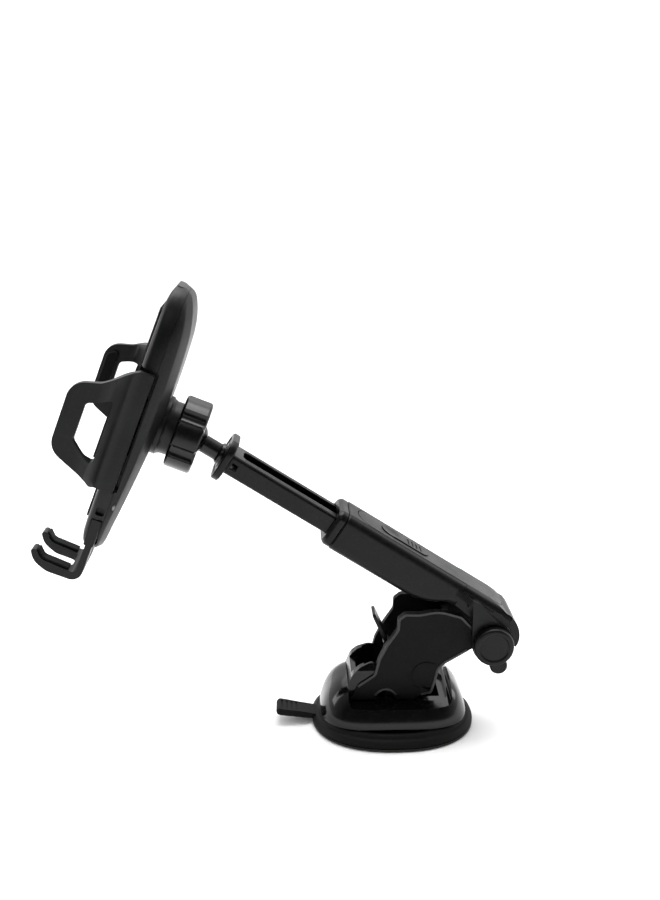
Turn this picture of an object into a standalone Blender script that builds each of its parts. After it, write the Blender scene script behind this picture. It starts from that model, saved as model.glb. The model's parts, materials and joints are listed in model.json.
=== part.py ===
"""Car phone mount: suction base with lock lever, pivoting telescoping arm, ball joint and one-touch cradle.

All dimensions are in millimetres and are scaled by MM where meshes are made. World origin: middle of the suction
face, +Z up. The arm reaches towards -X, and the object is symmetric about the XZ plane apart from its fasteners,
its racks and its buttons. The near side is -Y.
"""

from math import acos, atan2, cos, degrees, pi, radians, sin, sqrt, tan

import bmesh
import bpy
from mathutils import Matrix, Vector

MM = 0.001
GAP = 0.3                      # clearance between pieces that touch

# Driving dimensions of the mount
PIVOT = (43.5, 0.0, 45.0)      # axis of the arm pivot
ARM_ANGLE = 33.0               # arm above the horizontal at rest
BALL_ALONG = 164.0             # ball centre along the arm from the pivot
ARM_MID_T = 6.6                # middle of the tubes above the pivot axis
CRADLE_TILT = 22.0             # long axis of the cradle off the vertical
BALL_R = 8.5                   # 17 mm ball
LEVER_AXLE = (14.7, 0.0, 26.8)

# Base
CUP_HALF = (37.8, 30.8)
HOUSING_HALF = (34.0, 24.2)
HOUSING_TOP = 15.5
CHEEK_IN = 9.2                 # inner faces of the yoke cheeks
CHEEK_OUT = 12.2
LUG_R = 8.0
BOLT_R = 3.0
BLADE_HALF = 5.2

# Arm
TUBE_HALF = 12.0
TUBE_TOP = 15.6
TUBE_FRONT = 86.5
INNER_HALF = 9.2
INNER_LOW, INNER_HIGH = 2.0, 11.35
INNER_START, INNER_END = 73.0, 143.2
EAR_IN, EAR_OUT = 13.4, 16.0
HOOD_IN, HOOD_OUT = 11.3, 14.2
CAP_IN, CAP_TAIL = 9.4, 11.9    # inner radius of the rear cap, and its outer radius at its lower edge
BUTTON_SPAN = (44.0, 69.0)
FLANGE_HALF = 11.5

# Cradle: n is forwards from the ball centre, u is up the long axis
SPLIT = 20.1                   # joint between the back and front covers
FACE_N = 27.3
HOUSING_U = (-62.0, 60.0)
HOUSING_W = 24.5
RECESS_W = 16.5
RECESS_U = (-28.5, 26.5)
ARM_PLATE = 3.0
RACK_N = (20.6, 22.6)
GEAR_TEETH = 12
GEAR_MODULE = 1.0
GEAR_PITCH_R = GEAR_TEETH * GEAR_MODULE / 2
PIN_RISE = 2.5                 # travel of the plunger
LEVER_SWING = 40.0             # swing of the lock lever, degrees
PRONG_Y = (7.0, 13.0)


# ---------------------------------------------------------------- materials and frames

def finish(name, colour, roughness, metallic=0.0):
    """A Principled material."""
    material = bpy.data.materials.new(name)
    material.use_nodes = True
    shader = material.node_tree.nodes["Principled BSDF"]
    shader.inputs["Base Color"].default_value = (*colour, 1.0)
    shader.inputs["Roughness"].default_value = roughness
    shader.inputs["Metallic"].default_value = metallic
    return material


def body_frame(name, place, tilt=0.0, reach_left=True):
    """An empty at a joint. With reach_left its x axis points to -X, raised by tilt degrees, and its z axis stays
    the upper one, so its y axis points to the near side."""
    frame = bpy.data.objects.new(name, None)
    bpy.context.collection.objects.link(frame)
    turn = Matrix.Rotation(radians(tilt), 4, "Y")
    if reach_left:
        turn = turn @ Matrix.Rotation(pi, 4, "Z")
    frame.matrix_world = Matrix.Translation(Vector(place) * MM) @ turn
    return frame


# ---------------------------------------------------------------- solids

def solid(name, frame, material, points, faces, smooth=0.0):
    """An object made of points in millimetres, with its faces turned outwards."""
    mesh = bpy.data.meshes.new(name)
    mesh.from_pydata([Vector(point) * MM for point in points], [], faces)
    shape = bmesh.new()
    shape.from_mesh(mesh)
    bmesh.ops.recalc_face_normals(shape, faces=shape.faces)
    shape.to_mesh(mesh)
    shape.free()
    if smooth:
        mesh.shade_smooth()
        mesh.set_sharp_from_angle(angle=radians(smooth))
    thing = bpy.data.objects.new(name, mesh)
    bpy.context.collection.objects.link(thing)
    thing.parent = frame
    if material:
        mesh.materials.append(material)
    return thing


def lofted(name, frame, material, rings, smooth=0.0):
    """A closed skin over rings that all have the same number of points."""
    count = len(rings[0])
    points = [point for ring in rings for point in ring]
    faces = [list(range(count)), list(range(len(points) - count, len(points)))]
    for level in range(len(rings) - 1):
        low = level * count
        for i in range(count):
            j = (i + 1) % count
            faces.append([low + i, low + j, low + count + j, low + count + i])
    return solid(name, frame, material, points, faces, smooth)


def placed(pair, along, value):
    """A 2-D point of an outline, put at a value along the third axis."""
    first, second = pair
    return {"x": (value, first, second), "y": (first, value, second), "z": (first, second, value)}[along]


def prism(name, frame, material, outline, along, low, high, smooth=0.0):
    rings = [[placed(pair, along, value) for pair in outline] for value in (low, high)]
    return lofted(name, frame, material, rings, smooth)


def block(name, frame, material, x, y, z):
    outline = [(x[0], y[0]), (x[1], y[0]), (x[1], y[1]), (x[0], y[1])]
    return prism(name, frame, material, outline, "z", *z)


def turned(name, frame, material, profile, along, centre=(0.0, 0.0, 0.0), sides=24, smooth=40.0):
    """A closed profile of (radius, height) turned round an axis through centre."""
    points, rings = [], []
    for radius, height in profile:
        if radius < 1e-6:
            spots = [(0.0, 0.0)]
        else:
            spots = [(radius * cos(2 * pi * i / sides), radius * sin(2 * pi * i / sides)) for i in range(sides)]
        rings.append(range(len(points), len(points) + len(spots)))
        for spot in spots:
            offset = placed(spot, along, height)
            points.append([centre[k] + offset[k] for k in range(3)])
    faces = []
    for k in range(len(rings)):
        one, two = rings[k], rings[(k + 1) % len(rings)]
        if len(one) == len(two) == 1:
            continue
        for i in range(sides):
            j = (i + 1) % sides
            face = [one[i % len(one)], one[j % len(one)], two[j % len(two)], two[i % len(two)]]
            faces.append(list(dict.fromkeys(face)))
    return solid(name, frame, material, points, faces, smooth)


def rod(name, frame, material, along, centre, radius, low, high, sides=20):
    profile = [(0.0, low), (radius, low), (radius, high), (0.0, high)]
    return turned(name, frame, material, profile, along, centre, sides)


def use_boolean(thing, other, operation):
    other.hide_render = True
    other.display_type = "WIRE"
    change = thing.modifiers.new(operation.lower() + "_" + other.name, "BOOLEAN")
    change.operation = operation
    change.object = other


def cut(thing, *others):
    for other in others:
        use_boolean(thing, other, "DIFFERENCE")
    return thing


def join(thing, *others):
    for other in others:
        use_boolean(thing, other, "UNION")
    return thing


# ---------------------------------------------------------------- outlines

def arc(centre, radius, start, end, steps):
    """Points on an arc, angles in degrees."""
    spread = [start + (end - start) * i / steps for i in range(steps + 1)]
    return [(centre[0] + radius * cos(radians(a)), centre[1] + radius * sin(radians(a))) for a in spread]


def rounded(corners, step=22.5):
    """An outline whose corners, given as (x, y, radius), become arcs."""
    outline = []
    for k, (x, y, radius) in enumerate(corners):
        here = Vector((x, y))
        before = Vector(corners[k - 1][:2]) - here
        after = Vector(corners[(k + 1) % len(corners)][:2]) - here
        opening = before.angle(after)
        if radius <= 0.0 or opening > pi - 0.02:
            outline.append((x, y))
            continue
        reach = min(radius / tan(opening / 2), 0.49 * before.length, 0.49 * after.length)
        radius = reach * tan(opening / 2)
        centre = here + (before.normalized() + after.normalized()).normalized() * (radius / sin(opening / 2))
        start = here + before.normalized() * reach - centre
        end = here + after.normalized() * reach - centre
        turn = start.angle_signed(end)
        steps = max(1, round(abs(degrees(turn)) / step))
        angle = atan2(start.y, start.x)
        outline += [(centre.x + radius * cos(angle - turn * i / steps),
                     centre.y + radius * sin(angle - turn * i / steps)) for i in range(steps + 1)]
    return outline


def rounded_box(half, low, high, radius, step=30.0):
    return rounded([(-half, low, radius), (half, low, radius), (half, high, radius), (-half, high, radius)], step)


def oval(half, power, count=36, middle=(0.0, 0.0)):
    """A superellipse."""
    outline = []
    for i in range(count):
        c, s = cos(2 * pi * i / count), sin(2 * pi * i / count)
        reach = (abs(c) ** power + abs(s) ** power) ** (-1 / power)
        outline.append((middle[0] + half[0] * c * reach, middle[1] + half[1] * s * reach))
    return outline


def ring_at(outline, along, value):
    return [placed(pair, along, value) for pair in outline]


def ease(value, table):
    """Straight-line interpolation in a list of (position, value) pairs."""
    for (a, va), (b, vb) in zip(table, table[1:]):
        if value <= b:
            return va + (vb - va) * max(0.0, value - a) / (b - a)
    return table[-1][1]


# ---------------------------------------------------------------- base

def build_base(world, gloss, matte, rubber, gel, steel):
    half_x, half_y = CUP_HALF
    lofted("gel_pad", world, gel, [
        ring_at(oval((half_x, half_y), 2.3), "z", 0.0),
        ring_at(oval((half_x, half_y), 2.3), "z", 1.2)], 40)

    steps = [(0.0, 1.5), (0.2, 2.4), (2.3, 4.3), (3.0, 4.5), (4.0, 5.7), (5.4, 6.1)]
    cup = lofted("suction_cup", world, rubber, [
        ring_at(oval((half_x - inset, half_y - inset), 2.3), "z", z) for inset, z in steps], 40)
    tab = rounded([(-33.5, 1.7, 0), (-41.0, 1.9, 8), (-53.8, 4.0, 1), (-54.8, 6.4, 1),
                   (-53.2, 7.4, 1), (-40.5, 5.0, 8), (-33.5, 3.0, 0)])
    join(cup, prism("tab_form", world, None, tab, "y", -4.8, 4.8))
    cut(cup, rod("cup_hole", world, None, "z", (0, 0, 0), 14.0, 0.0, 8.0, 28))

    housing_steps = [(0.0, 6.5), (0.0, 7.6), (0.5, 9.8), (1.2, 12.0), (2.1, 14.4), (3.4, 17.0), (5.4, 19.8),
                     (8.0, 22.2), (11.2, 23.8)]
    housing = lofted("base_housing", world, gloss, [
        ring_at(oval((HOUSING_HALF[0] - inset, HOUSING_HALF[1] - inset), 3.2, 40), "z", z)
        for inset, z in housing_steps], 40)
    cavity_steps = [(2.2, 6.0), (2.2, 7.6), (3.8, 10.5), (7.0, 12.8)]
    cut(housing,
        lofted("housing_cavity", world, None, [
            ring_at(oval((HOUSING_HALF[0] - inset, HOUSING_HALF[1] - inset), 3.0, 32), "z", z)
            for inset, z in cavity_steps]),
        block("yoke_ledge", world, None, (-21.4, 25.6), (-40.0, 40.0), (HOUSING_TOP, 40.0)),
        block("lever_well", world, None, (-6.4, 21.5), (-6.4, 6.4), (11.0, 17.0)))

    build_yoke(world, matte)
    for place, side in enumerate((-1, 1), 1):
        spot = (-13.0, 5.0 * side, 0)
        cut(housing, rod(f"screw_way_{place}", world, None, "z", spot, 1.5, 11.0, 17.0, 12))
        profile = [(0, 10.9), (2.3, 10.9), (2.3, 12.4), (1.2, 12.6), (1.2, 19.8), (0, 19.8)]
        turned(f"base_screw_{place}", world, steel, profile, "z", spot, 12)
    build_lever_and_plunger(world, matte, steel)


def build_yoke(world, matte):
    px, _, pz = PIVOT
    rel = rounded([
        (-64.0, -29.2, 0), (-60.3, -21.6, 3), (-53.0, -16.4, 2.5), (-51.2, -9.0, 8), (-48.0, -2.2, 12),
        (-42.8, 5.8, 3), (-42.6, 11.0, 2.2), (-39.4, 13.6, 2.5), (-33.0, 13.4, 5), (-24.0, 15.0, 16),
        (-13.6, 11.8, 3), (-9.0, 6.6, 0)])
    rel += arc((0, 0), LUG_R, 130, -155, 16)
    rel += rounded([(-10.5, -5.2, 0), (-20.6, -11.4, 3), (-23.4, -14.2, 3), (-24.6, -20.0, 4), (-26.4, -26.6, 2),
                    (-31.0, -27.4, 2), (-36.0, -29.2, 0)])
    rel += arc((-47.6, -29.2), 4.6, 0, 180, 8)
    outline = [(px + x, pz + z) for x, z in rel]
    yoke = prism("base_yoke", world, matte, outline, "y", -CHEEK_OUT, CHEEK_OUT)
    upper = [(-30.0, 22.0), (70.0, 22.0), (70.0, 80.0), (-30.0, 80.0)]
    cut(yoke,
        prism("yoke_gap", world, None, upper, "y", -CHEEK_IN, CHEEK_IN),
        block("yoke_well", world, None, (-8.0, 45.0), (-CHEEK_IN, CHEEK_IN), (14.0, 23.0)),
        rod("pivot_bore", world, None, "y", PIVOT, BOLT_R + 0.4, -20, 20),
        rod("axle_bore", world, None, "y", LEVER_AXLE, 2.3, -20, 20, 12))
    shroud = rounded([(-20.4, 16.0, 0), (-20.4, 22.5, 5), (-18.8, 28.0, 4), (-16.0, 31.0, 3), (-11.5, 33.0, 1),
                      (-11.5, 16.0, 0)])
    join(yoke,
         block("yoke_web", world, None, (px - 20.5, px - 18.0), (-CHEEK_IN - 0.5, CHEEK_IN + 0.5),
               (pz - 7.0, pz + 9.0)),
         prism("shroud_form", world, None, shroud, "y", -CHEEK_IN - 0.4, CHEEK_IN + 0.4))
    cut(yoke,
        block("shroud_slot", world, None, (-17.6, 0.0), (-7.9, 7.9), (22.2, 40.0)),
        block("lever_way", world, None, (-30.0, 0.0), (-7.9, 7.9), (27.0, 40.0)))
    for place, side in enumerate((-1, 1), 1):
        cut(yoke, rod(f"yoke_screw_hole_{place}", world, None, "z", (-13.0, 5.0 * side, 0), 1.5, 14.0, 20.4, 12))


def cam_slot(half_width, steps=8):
    """Outline of the lever's slot: the plunger pin rises by PIN_RISE, at a fixed distance beside the axle, as the
    lever swings, so its path in the lever's own frame is that straight rise turned back by the swing."""
    beside, below = -LEVER_AXLE[0], -8.0
    path = []
    for i in range(-1, steps + 2):
        share = i / steps
        turn = -radians(LEVER_SWING * share)
        x, z = beside, below + PIN_RISE * share
        path.append(Vector((x * cos(turn) - z * sin(turn), x * sin(turn) + z * cos(turn))))
    left, right = [], []
    for k, point in enumerate(path):
        along = (path[min(k + 1, len(path) - 1)] - path[max(k - 1, 0)]).normalized()
        across = Vector((-along.y, along.x)) * half_width
        left.append(tuple(point + across))
        right.append(tuple(point - across))
    return left + right[::-1]


def build_lever_and_plunger(world, matte, steel):
    lever_frame = body_frame("lever_frame", LEVER_AXLE, reach_left=False)
    plate = rounded([(5.6, -3.6, 4), (1.0, -6.6, 4), (-11.5, -10.6, 3), (-16.6, -11.0, 4), (-19.3, -3.0, 6),
                     (-19.1, 7.6, 3), (-18.6, 10.6, 1), (-19.6, 12.6, 1), (-16.8, 14.6, 1), (-12.0, 8.6, 3),
                     (0.0, 6.4, 5), (5.6, 3.6, 4)])
    lever = prism("lock_lever", lever_frame, matte, plate, "y", -2.5, 2.5)
    blade = [(-17.6, 11.0), (-25.0, 27.8), (-23.6, 28.4), (-16.1, 11.7)]
    join(lever, prism("blade_form", lever_frame, None, blade, "y", -BLADE_HALF, BLADE_HALF))
    cut(lever,
        prism("cam_slot_form", lever_frame, None, cam_slot(1.2 + 0.4), "y", -4, 4),
        rod("lever_bore", lever_frame, None, "y", (0, 0, 0), 2.3, -4, 4, 12))
    rod("lever_axle", lever_frame, steel, "y", (0, 0, 0), 2.0, -CHEEK_OUT + 0.4, CHEEK_OUT - 0.4, 12)

    pin_z = LEVER_AXLE[2] - 8.0
    plunger = turned("plunger", world, steel, [
        (0, 1.8), (13.0, 1.8), (13.0, 2.6), (5.0, 3.4), (3.2, 4.4), (3.2, 8.4), (0, 8.4)], "z")
    join(plunger, block("head_form", world, None, (-3.0, 3.0), (-5.4, 5.4), (6.8, pin_z + 3.0)))
    cut(plunger,
        block("clevis_gap", world, None, (-4.0, 4.0), (-2.9, 2.9), (8.4, 30.0)),
        rod("pin_bore", world, None, "y", (0, 0, pin_z), 1.5, -8, 8, 12))
    rod("plunger_pin", world, steel, "y", (0, 0, pin_z), 1.2, -5.2, 5.2, 12)


# ---------------------------------------------------------------- arm

def tube_low(a):
    """Underside of the outer tube: it rises towards the pivot to clear the yoke."""
    return ease(a, [(20, 4.8), (27, 3.6), (33, 0.2), (38, -1.8), (44, -2.7), (56, -2.8)])


def build_outer_arm(arm, matte, gloss):
    rings = []
    for a in (20.0, 27.0, 33.0, 38.0, 44.0, 56.0, TUBE_FRONT):
        rings.append(ring_at(rounded_box(TUBE_HALF, tube_low(a), TUBE_TOP, 4.2), "x", a))
    tube = lofted("outer_tube", arm, matte, rings, 40)
    hood = [(24.0, 5.4), (12.8, 3.9)] + arc((0, 0), HOOD_IN, 24, 97, 5)
    hood += arc((0, 0), HOOD_OUT, 97, 85, 2) + [(6.0, 15.2), (10.0, TUBE_TOP - 0.02), (24.0, TUBE_TOP - 0.02)]
    join(tube, prism("hood_form", arm, None, hood, "y", -TUBE_HALF + 0.05, TUBE_HALF - 0.05))
    saddle = [(19.0, 8.0), (10.0, 6.0)] + arc((0, 0), HOOD_IN + 0.05, 34, 94, 4)
    saddle += arc((0, 0), 12.6, 94, 80, 1) + [(10.0, 12.8), (19.0, 12.8)]
    join(tube, prism("saddle_form", arm, None, saddle, "y", -EAR_IN - 0.5, EAR_IN + 0.5))
    ear = [(19.8, 12.6)] + arc((0, 0), 9.5, -45, -260, 14) + [(-0.5, 12.2), (4.0, 13.0)]
    for side, word in ((-1, "far"), (1, "near")):
        y = sorted((side * EAR_IN, side * EAR_OUT))
        join(tube, prism(f"ear_form_{word}", arm, None, ear, "y", *y))
    cavity = rounded_box(INNER_HALF + GAP, INNER_LOW - GAP, INNER_HIGH + GAP, 1.8, 45)
    pocket = rounded([(BUTTON_SPAN[0] - GAP, -4.6, 4.6), (BUTTON_SPAN[1] + GAP, -4.6, 4.6),
                      (BUTTON_SPAN[1] + GAP, 4.6, 4.6), (BUTTON_SPAN[0] - GAP, 4.6, 4.6)])
    cut(tube,
        prism("tube_cavity", arm, None, cavity, "x", 34.5, 95.0),
        prism("button_pocket", arm, None, pocket, "z", 10.0, 20.0),
        rod("ear_bore", arm, None, "y", (0, 0, 0), BOLT_R + GAP, -20, 20))

    cap = arc((0, 0), CAP_IN, 99, 165, 6)
    for (x, z), share in zip(arc((0, 0), 1.0, 165, 99, 6), (0.0, 0.05, 0.2, 0.4, 0.6, 0.8, 1.0)):
        radius = CAP_TAIL + (HOOD_OUT - 0.2 - CAP_TAIL) * share
        cap.append((radius * x, radius * z))
    prism("rear_cap", arm, matte, cap, "y", -TUBE_HALF, TUBE_HALF, 40)

    collar_steps = [(0.35, TUBE_FRONT + GAP), (0.35, 90.2), (1.0, 91.0)]
    collar = lofted("tube_collar", arm, gloss, [
        ring_at(rounded_box(TUBE_HALF - inset, tube_low(80) + inset, TUBE_TOP - inset, 4.0), "x", a)
        for inset, a in collar_steps], 40)
    cut(collar, prism("collar_bore", arm, None, cavity, "x", 80.0, 95.0))

    face = rounded([(BUTTON_SPAN[0], -4.3, 4.3), (BUTTON_SPAN[1], -4.3, 4.3),
                    (BUTTON_SPAN[1], 4.3, 4.3), (BUTTON_SPAN[0], 4.3, 4.3)])
    button = prism("arm_button", arm, matte, face, "z", 13.2, 16.0)
    join(button, rod("detent_form", arm, None, "z", (50.0, 0, 0), 1.6, 12.0, 13.6, 12))


def build_telescope(slide, gloss, matte, steel):
    tube = lofted("inner_tube", slide, gloss, [
        ring_at(rounded_box(INNER_HALF, INNER_LOW, INNER_HIGH, 1.6, 45), "x", a) for a in (INNER_START, INNER_END)])
    cut(tube,
        block("inner_hollow", slide, None, (70.0, 150.0), (-7.6, 7.6), (3.4, 9.9)),
        block("inner_slot", slide, None, (70.0, 139.0), (-5.0, 5.0), (8.0, 14.0)),
        block("latch_window", slide, None, (139.2, 142.0), (-12.0, 12.0), (5.4, 8.2)))
    shoe = prism("guide_shoe", slide, matte, rounded_box(INNER_HALF, INNER_LOW, 9.5, 1.6, 45), "x", 69.3,
                 INNER_START - GAP)
    join(shoe, block("shoe_plug", slide, None, (72.0, 79.0), (-7.2, 7.2), (3.7, 9.5)))

    plate = rounded_box(FLANGE_HALF, -3.3, 16.2, 6.4)
    small = rounded_box(FLANGE_HALF - 0.8, -2.5, 15.4, 5.8)
    flange = lofted("end_flange", slide, gloss, [
        ring_at(small, "x", 143.5), ring_at(plate, "x", 144.2), ring_at(plate, "x", 146.3),
        ring_at(small, "x", 147.0)], 40)
    join(flange, block("flange_plug", slide, None, (134.0, 144.0), (-7.2, 7.2), (3.7, 9.5)))
    cut(flange, rod("stem_bore", slide, None, "x", (0, 0, ARM_MID_T), 2.3, 137.5, 150.0, 12))

    profile = [(0, 138.0), (2.0, 138.0), (2.0, 147.3), (4.0, 147.3)]
    joined = 180 - degrees(acos(sqrt(1 - (4.0 / BALL_R) ** 2)))
    profile += [(radius, BALL_ALONG + along) for along, radius in arc((0, 0), BALL_R, joined, 0, 10)]
    profile[-1] = (0.0, BALL_ALONG + BALL_R)
    turned("ball_stud", slide, steel, profile, "x", (0, 0, ARM_MID_T - 0.1), 24, 50)


def build_pivot(arm, matte, steel, nylon):
    hexagon = arc((0, 0), 5.6, 0, 300, 5)
    head = prism("pivot_bolt", arm, steel, hexagon, "y", -19.2, -EAR_OUT - GAP)
    join(head, rod("bolt_shank", arm, None, "y", (0, 0, 0), BOLT_R, -17.0, 18.8))
    ring = [(BOLT_R + GAP, -CHEEK_IN + GAP), (5.2, -CHEEK_IN + GAP), (5.2, CHEEK_IN - GAP),
            (BOLT_R + GAP, CHEEK_IN - GAP)]
    turned("pivot_sleeve", arm, steel, ring, "y", sides=20)
    for side, word in ((-1, "far"), (1, "near")):
        low, high = sorted((side * (CHEEK_OUT + GAP), side * (EAR_IN - GAP)))
        washer = [(BOLT_R + GAP, low), (7.5, low), (7.5, high), (BOLT_R + GAP, high)]
        turned(f"friction_washer_{word}", arm, nylon, washer, "y", sides=20)
    knob_low, knob_high = EAR_OUT + GAP, 20.4
    rim = [(0, knob_high), (7.2, knob_high), (7.4, knob_high - 0.5), (8.4, knob_high - 0.4), (9.0, knob_high - 1.2),
           (9.0, knob_low), (0, knob_low)]
    knob = turned("pivot_knob", arm, matte, rim, "y", sides=28)
    wing_angle = radians(ARM_ANGLE)
    wing_x, wing_z = 2.5, -9.5
    wing = (-wing_x * cos(wing_angle) + wing_z * sin(wing_angle), wing_x * sin(wing_angle) + wing_z * cos(wing_angle))
    join(knob, rod("wing_form", arm, None, "y", (wing[0], 0, wing[1]), 4.0, knob_low + 0.1, knob_high - 0.9, 16))
    cut(knob, rod("knob_bore", arm, None, "y", (0, 0, 0), BOLT_R + GAP, 10.0, 19.1))


# ---------------------------------------------------------------- ball joint

def build_ball_joint(cradle, nylon, gloss):
    inner, outer = BALL_R + GAP, 9.8
    reach_in, reach_out = degrees(acos(3.0 / inner)), degrees(acos(3.0 / outer))
    profile = [(x, y) for y, x in arc((0, 0), inner, reach_in, 180 - reach_in, 6)]
    profile += [(x, y) for y, x in arc((0, 0), outer, 180 - reach_out, reach_out, 6)]
    turned("ball_liner", cradle, nylon, profile, "x", sides=28)

    cup_r = 10.1
    first = degrees(acos(5.0 / cup_r))
    last = degrees(acos(sqrt(cup_r ** 2 - 16.0) / cup_r))
    profile = [(x, y) for y, x in arc((0, 0), cup_r, first, last, 5)]
    profile += [(4.0, 10.6), (9.9, 10.6), (9.9, 5.0)]
    turned("socket_seat", cradle, nylon, profile, "x", sides=28)

    outline, small = [], []
    for lobe in range(6):
        middle = 60 * lobe + 12
        for angle, radius in ((-19, 16.3), (-7, 16.3), (7, 16.3), (19, 16.3), (25, 14.3), (35, 14.3)):
            spot = radians(middle + angle)
            outline.append((radius * cos(spot), radius * sin(spot)))
            small.append(((radius - 0.8) * cos(spot), (radius - 0.8) * sin(spot)))
    nut = lofted("collar_nut", cradle, gloss, [
        ring_at(small, "x", -5.9), ring_at(outline, "x", -5.1), ring_at(outline, "x", 5.3), ring_at(small, "x", 6.1)], 30)
    open_at = degrees(acos(-8.0 / cup_r))
    bore = [(0, -8.0)] + [(x, y) for y, x in arc((0, 0), cup_r, open_at, 105, 5)]
    bore += [(12.2, -2.6), (12.2, 8.0), (0, 8.0)]
    cut(nut, turned("nut_bore", cradle, None, bore, "x", sides=28))


# ---------------------------------------------------------------- cradle

def back_n(u):
    return ease(u, [(-62, 21.8), (-60, 19.6), (-57.6, 17.9), (-47, 16.6), (-31.5, 14.9), (-12, 13.2), (13, 12.2),
                    (39, 13.0), (48, 14.4), (56, 17.2), (58.5, 20.0), (60, 24.0)])


def front_n(u):
    return ease(u, [(-62, 24.0), (-57, 26.3), (-50, FACE_N), (52, FACE_N), (57, 26.6), (60, 25.6)])


def half_width(u):
    """Outline of the housing seen from the front."""
    share = min(0.985, abs((u - 0.5 * sum(HOUSING_U)) / (0.5 * (HOUSING_U[1] - HOUSING_U[0]))))
    return HOUSING_W * (1 - share ** 3.2) ** (1 / 3.2)


def housing_ring(u):
    back, front, wide = back_n(u), front_n(u), half_width(u)
    side = [(0.0, 0.50), (0.05, 0.72), (0.22, 0.92), (0.50, 1.0), (0.80, 0.985), (0.94, 0.93), (1.0, 0.82)]
    half = [(back + (front - back) * depth, wide * share) for depth, share in side]
    return [(n, y, u) for n, y in half] + [(n, -y, u) for n, y in reversed(half)]


def housing_form(name, cradle, material):
    levels = (-62, -60.5, -57, -50, -43, -31, -15, 0, 15, 30, 42, 50, 55, 58.5, 60)
    return lofted(name, cradle, material, [housing_ring(u) for u in levels], 40)


CRADLE_SCREWS = [(side * y, u) for side in (-1, 1) for y, u in ((19.6, -35.0), (18.6, 37.0))]


def build_covers(cradle, matte, rubber, steel):
    back = housing_form("back_cover", cradle, matte)
    cut(back, block("front_half", cradle, None, (SPLIT, 60), (-60, 60), (-90, 90)))
    boss = [(0, 10.9), (10.2, 10.9), (10.2, -2.2), (11.8, -2.2), (11.8, 10.4), (12.8, 11.0), (12.8, 14.6), (0, 14.6)]
    join(back, turned("neck_form", cradle, None, boss, "x", sides=32))
    cut(back, block("back_cavity", cradle, None, (16.4, 30), (-15, 15), (-28, 42)))
    join(back, rod("post_form", cradle, None, "x", (0, 0, 0), 3.4, 15.0, 19.9),
         rod("post_tip_form", cradle, None, "x", (0, 0, 0), 2.0, 15.5, 23.6, 16))

    front = housing_form("front_cover", cradle, matte)
    cut(front,
        block("back_half", cradle, None, (-20, SPLIT + GAP), (-60, 60), (-90, 90)),
        block("front_cavity", cradle, None, (10, 25.3), (-15, 15), (-56, 46)),
        block("foot_way", cradle, None, (21.5, 25.1), (-13.4, 13.4), (-70, -40)),
        block("button_way", cradle, None, (10, 24.6), (13.0, 17.6), (-56.6, -30.4)),
        block("button_window", cradle, None, (20.6, 25.4), (14.0, 40), (-55.4, -42.6)),
        block("rack_way", cradle, None, (10, 23.0), (-40, 40), (-13.2, 13.2)))
    for side in (-1, 1):
        word = "near" if side > 0 else "far"
        y = sorted((side * RECESS_W, side * 40))
        cut(front, block(f"recess_{word}", cradle, None, (10, 40), y, RECESS_U))
    join(front, rod("pawl_pin_form", cradle, None, "x", (0, 2.0, -22.0), 1.1, 20.8, 25.8, 12))
    for place, (y, u) in enumerate(CRADLE_SCREWS, 1):
        cut(back, rod(f"head_way_{place}", cradle, None, "x", (0, y, u), 2.6, 5.0, 19.2, 14),
            rod(f"shank_way_{place}", cradle, None, "x", (0, y, u), 1.5, 10.0, 22.0, 12))
        cut(front, rod(f"thread_way_{place}", cradle, None, "x", (0, y, u), 1.5, 15.0, 25.6, 12))
        profile = [(0, 18.0), (1.8, 18.0), (2.2, 18.4), (2.2, 18.9), (1.2, 18.9), (1.2, 25.2), (0, 25.2)]
        turned(f"cradle_screw_{place}", cradle, steel, profile, "x", (0, y, u), 12)

    ribs = [(27.6, -15.0)]
    for k in range(7):
        y = -12.6 + 4.2 * k
        ribs += [(28.2, y - 2.2), (28.6, y - 1.9), (28.6, y + 1.0), (28.2, y + 1.3)]
    ribs += [(28.2, 15.0), (27.6, 15.0)]
    prism("front_pad", cradle, rubber, ribs, "z", -46.0, 50.0)


def arm_outline():
    """Side view of a clamp arm, (n, u)."""
    return rounded([(20.6, -27, 1), (26.5, -27, 1.5), (30.2, -25.6, 3), (34, -19.6, 14), (49, -13.0, 8),
                    (49, 15.8, 9), (38, 19.2, 6), (32, 23.2, 5), (26.5, 25.6, 1.5), (20.6, 25.6, 1)])


def rack_outline():
    """Rack in (y, u): teeth on its lower edge, on the pitch line of the pinion."""
    root, tip = GEAR_PITCH_R + 1.15, GEAR_PITCH_R - 0.75
    pitch = pi * GEAR_MODULE
    slope = tan(radians(20))
    half = pitch / 4 - 0.3
    outline = [(26.0, root), (26.0, 12.4), (-8.5, 12.4), (-8.5, root)]
    for tooth in range(-3, 5):
        middle = (tooth + 0.5) * pitch
        low, high = half + slope * (root - GEAR_PITCH_R), half - slope * (GEAR_PITCH_R - tip)
        if middle - low < -8.4:
            continue
        outline += [(middle - low, root), (middle - high, tip), (middle + high, tip), (middle + low, root)]
    return outline


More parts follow.
